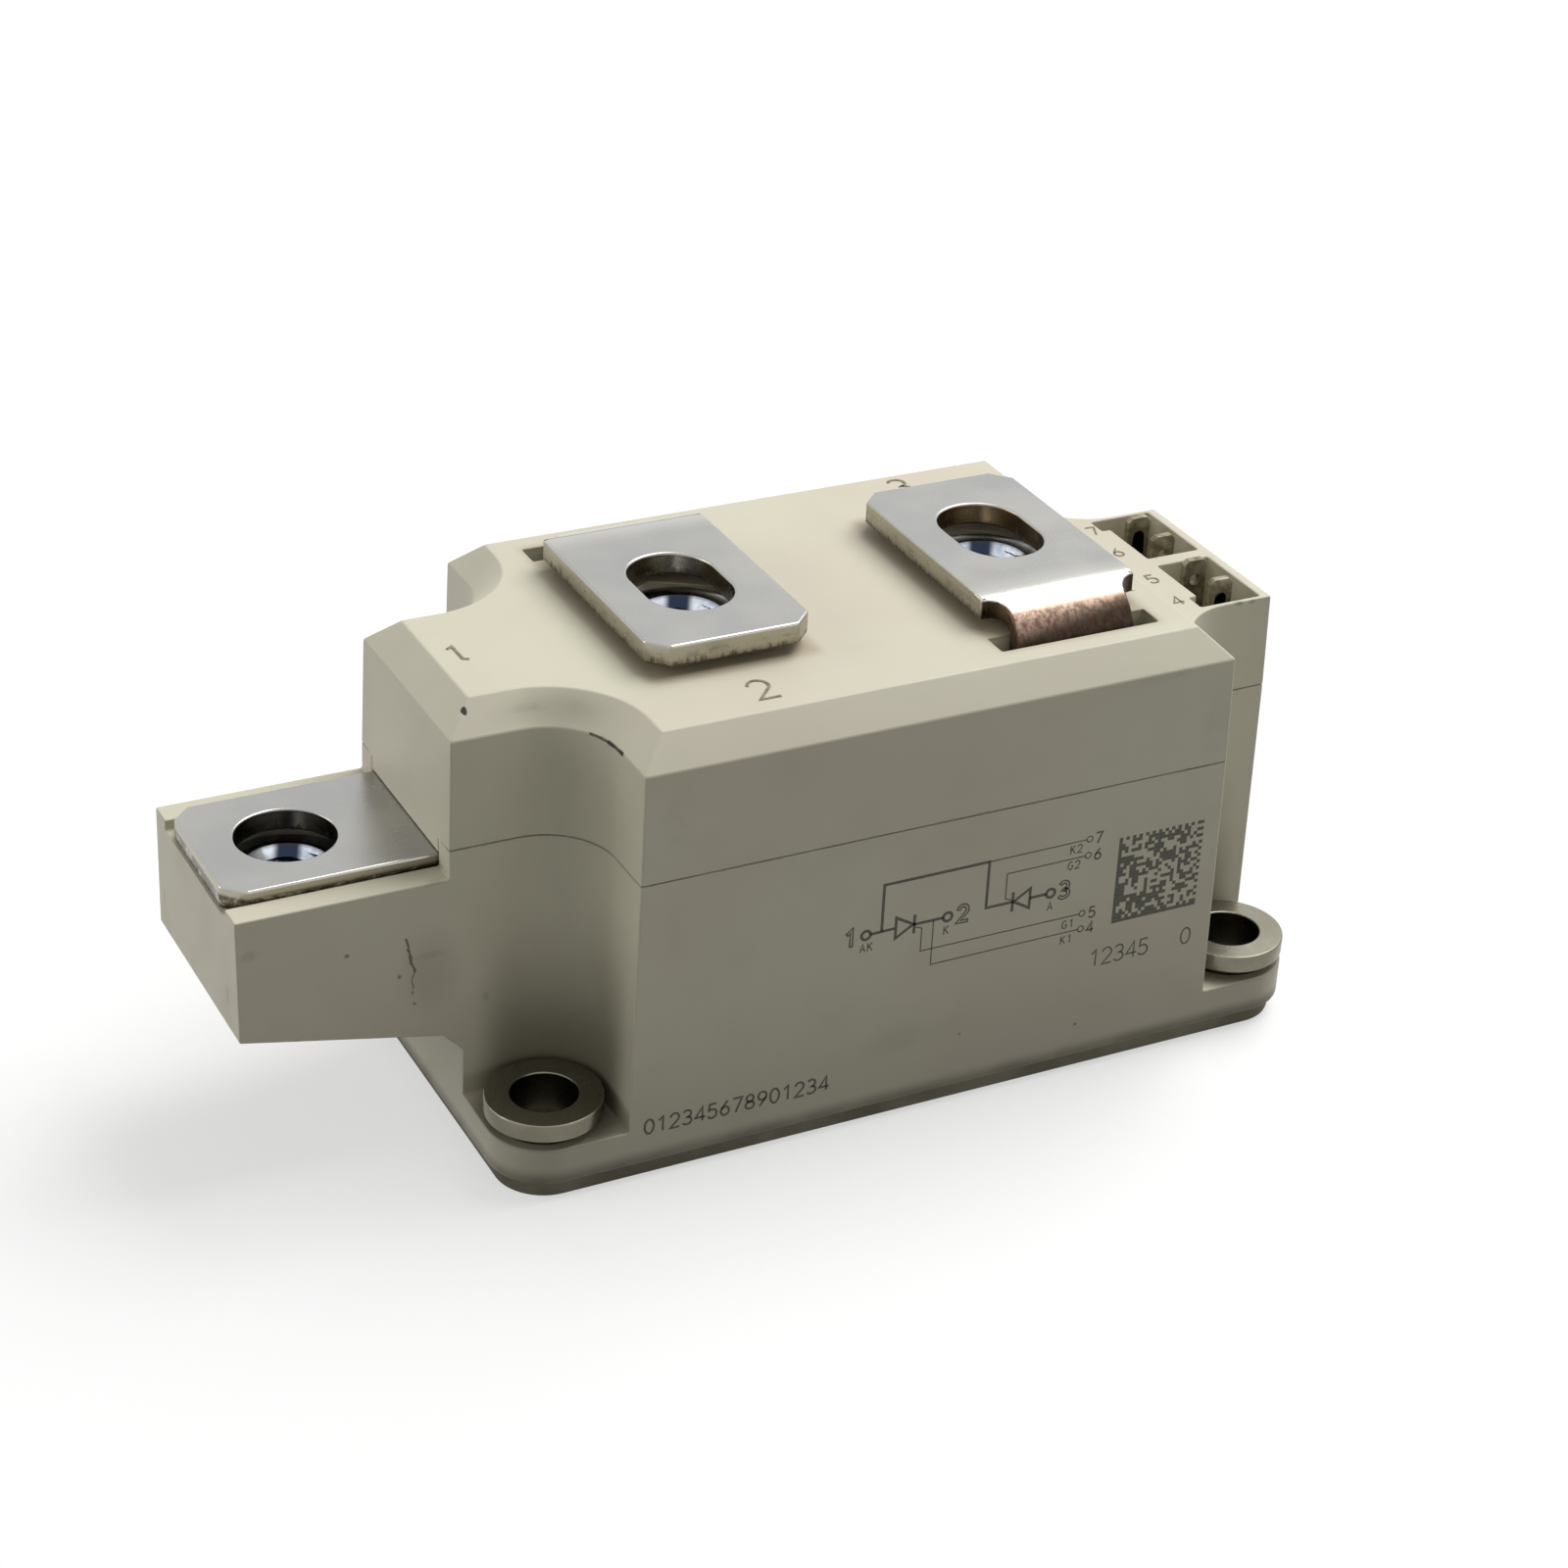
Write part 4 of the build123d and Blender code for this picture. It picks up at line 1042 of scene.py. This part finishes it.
for sign, x, z in (("7", 18.25, 28.25), ("6", 18.3, 26.35), ("5", 18.3, 19.4), ("4", 18.2, 17.6)):
    diagram += figure_lines(sign, (x, z), 1.3, 0.2)
for label, x, z in (("AK", -8.05, 21.4), ("K", 1.0, 21.3), ("A", 13.1, 21.3), ("K2", 15.65, 27.45),
                    ("G2", 15.55, 25.6), ("G1", 15.5, 18.6), ("K1", 15.45, 16.75)):
    diagram += figure_lines(label, (x, z), 0.95, HAIR)
draw("circuit_diagram", diagram, on_near_face, INK_HEIGHT, INK)

# %% [markdown]
# ## The square of dots
#
# Next to the diagram is a square of dots for a reader. The one here says nothing: a seeded row of coin
# tosses fills the middle, and only the frame is regular, solid on two sides and dotted on the other two.

# %% Dot square
coin = random.Random(7)
CELLS, SIDE, LEFT, FOOT = 26, 10.2, 20.8, 17.4
cell = SIDE / CELLS
wide, high = cell * 1.01, cell * 0.96
dots = []
for row in range(CELLS):
    for column in range(CELLS):
        edge = column == 0 or row == 0
        dotted = (row == CELLS - 1 and column % 2 == 0) or (column == CELLS - 1 and row % 2 == 1)
        inner = 0 < column < CELLS - 1 and 0 < row < CELLS - 1 and coin.random() < 0.5
        if edge or dotted or inner:
            low = (LEFT + column * cell, FOOT + row * cell)
            dots.append((low, (low[0] + wide, low[1] + high)))
draw("dot_square", [], on_near_face, INK_HEIGHT, INK, dots)

# %% [markdown]
# ### Plain figures
#
# Below the square and at the foot of the wall stand rows of small figures. Figures that only count up
# fill their place and say nothing. They come from the same set of signs, in the same ink.

# %% Lot figures and counting figures
lot = figure_lines("12345", (22.15, 13.6), 2.0, 0.19, 0.74) + figure_lines("0", (30.3, 13.7), 2.0, 0.19)
draw("lot_figures", lot, on_near_face, INK_HEIGHT, INK)
counting = figure_lines("012345678901234", (-21.6, 6.2), 1.75, 0.24, 0.79)
draw("counting_figures", counting, on_near_face, INK_HEIGHT, INK)

# %% [markdown]
# ## The floor and the light
#
# The photograph is a cut-out on white. Its roof is bright, the left end is half as bright and the long
# side a third: so the main lamp is wide and stands above, behind and to the right, a weaker one fills the
# left end, and the world lights the rest. The floor and the sky are white only to the rays that show
# them, from the camera or off a bright metal; the light that they give to the plastic stays dull, so that
# it doesn't wash out the shaded side.

# %% World
world = bpy.data.worlds.new("studio")
bpy.context.scene.world = world
world.use_nodes = True
sky = Sheet(world.node_tree)
SKY_LIGHT, SKY_SEEN = (0.25, 0.25, 0.245, 1), (1, 1, 1, 1)
sky_tone = sky.lay(sky.shown(), SKY_LIGHT, SKY_SEEN)
sky.tree.links.new(sky_tone.socket, sky.tree.nodes["Background"].inputs["Color"])
print("world:", world.name, "with", len(sky.tree.nodes), "nodes")

# %% Floor
FLOOR_LIGHT, FLOOR_SEEN, FLOOR_GLOW = (0.17, 0.17, 0.16, 1), (0.5, 0.5, 0.5, 1), (0.55, 0.55, 0.55, 1)
made = Finish("studio_floor", Roughness=0.9, Specular_IOR_Level=0.0, Emission_Strength=1.0)
shown = made.shown()
made.feed(Base_Color=made.lay(shown, FLOOR_LIGHT, FLOOR_SEEN),
          Emission_Color=made.lay(shown, (0, 0, 0, 1), FLOOR_GLOW))
floor_mesh = bpy.data.meshes.new("studio_floor")
RADIUS, CORNERS = 6, 48
turns = [k * math.tau / CORNERS for k in range(CORNERS)]
around = [(math.cos(turn) * RADIUS, math.sin(turn) * RADIUS, 0) for turn in turns]
floor_mesh.from_pydata(around, [], [list(range(CORNERS))])
floor = added("studio_floor", floor_mesh)
floor.data.materials.append(made.material)
print("floor:", RADIUS, "m in radius")


# %% Lamps
LIT_POINT = Vector((0, 0, 0.03))


def soft_lamp(name, place, width, height, watts):
    """A wide lamp at a place, in metres, that points at the middle of the module."""
    data = bpy.data.lights.new(name, "AREA")
    data.shape, data.size, data.size_y, data.energy = "RECTANGLE", width, height, watts
    lamp = added(name, data)
    lamp.location = place
    lamp.rotation_euler = (LIT_POINT - Vector(place)).to_track_quat("-Z", "Y").to_euler()


soft_lamp("main_light", (0.55, 0.16, 0.9), 0.8, 0.8, 10.5)
soft_lamp("left_fill", (-1.1, 0.5, 0.4), 0.8, 0.6, 4.2)
soft_lamp("front_fill", (0.6, -1.2, 0.45), 0.8, 0.5, 0.9)

# %% [markdown]
# ### The view
#
# Blender's usual view bends bright colours towards white. The Standard view shows each colour as it was
# written, which is what a comparison with a photograph needs.

# %% Plain view of the colours
bpy.context.scene.view_settings.view_transform = "Standard"
print("view:", bpy.context.scene.view_settings.view_transform)
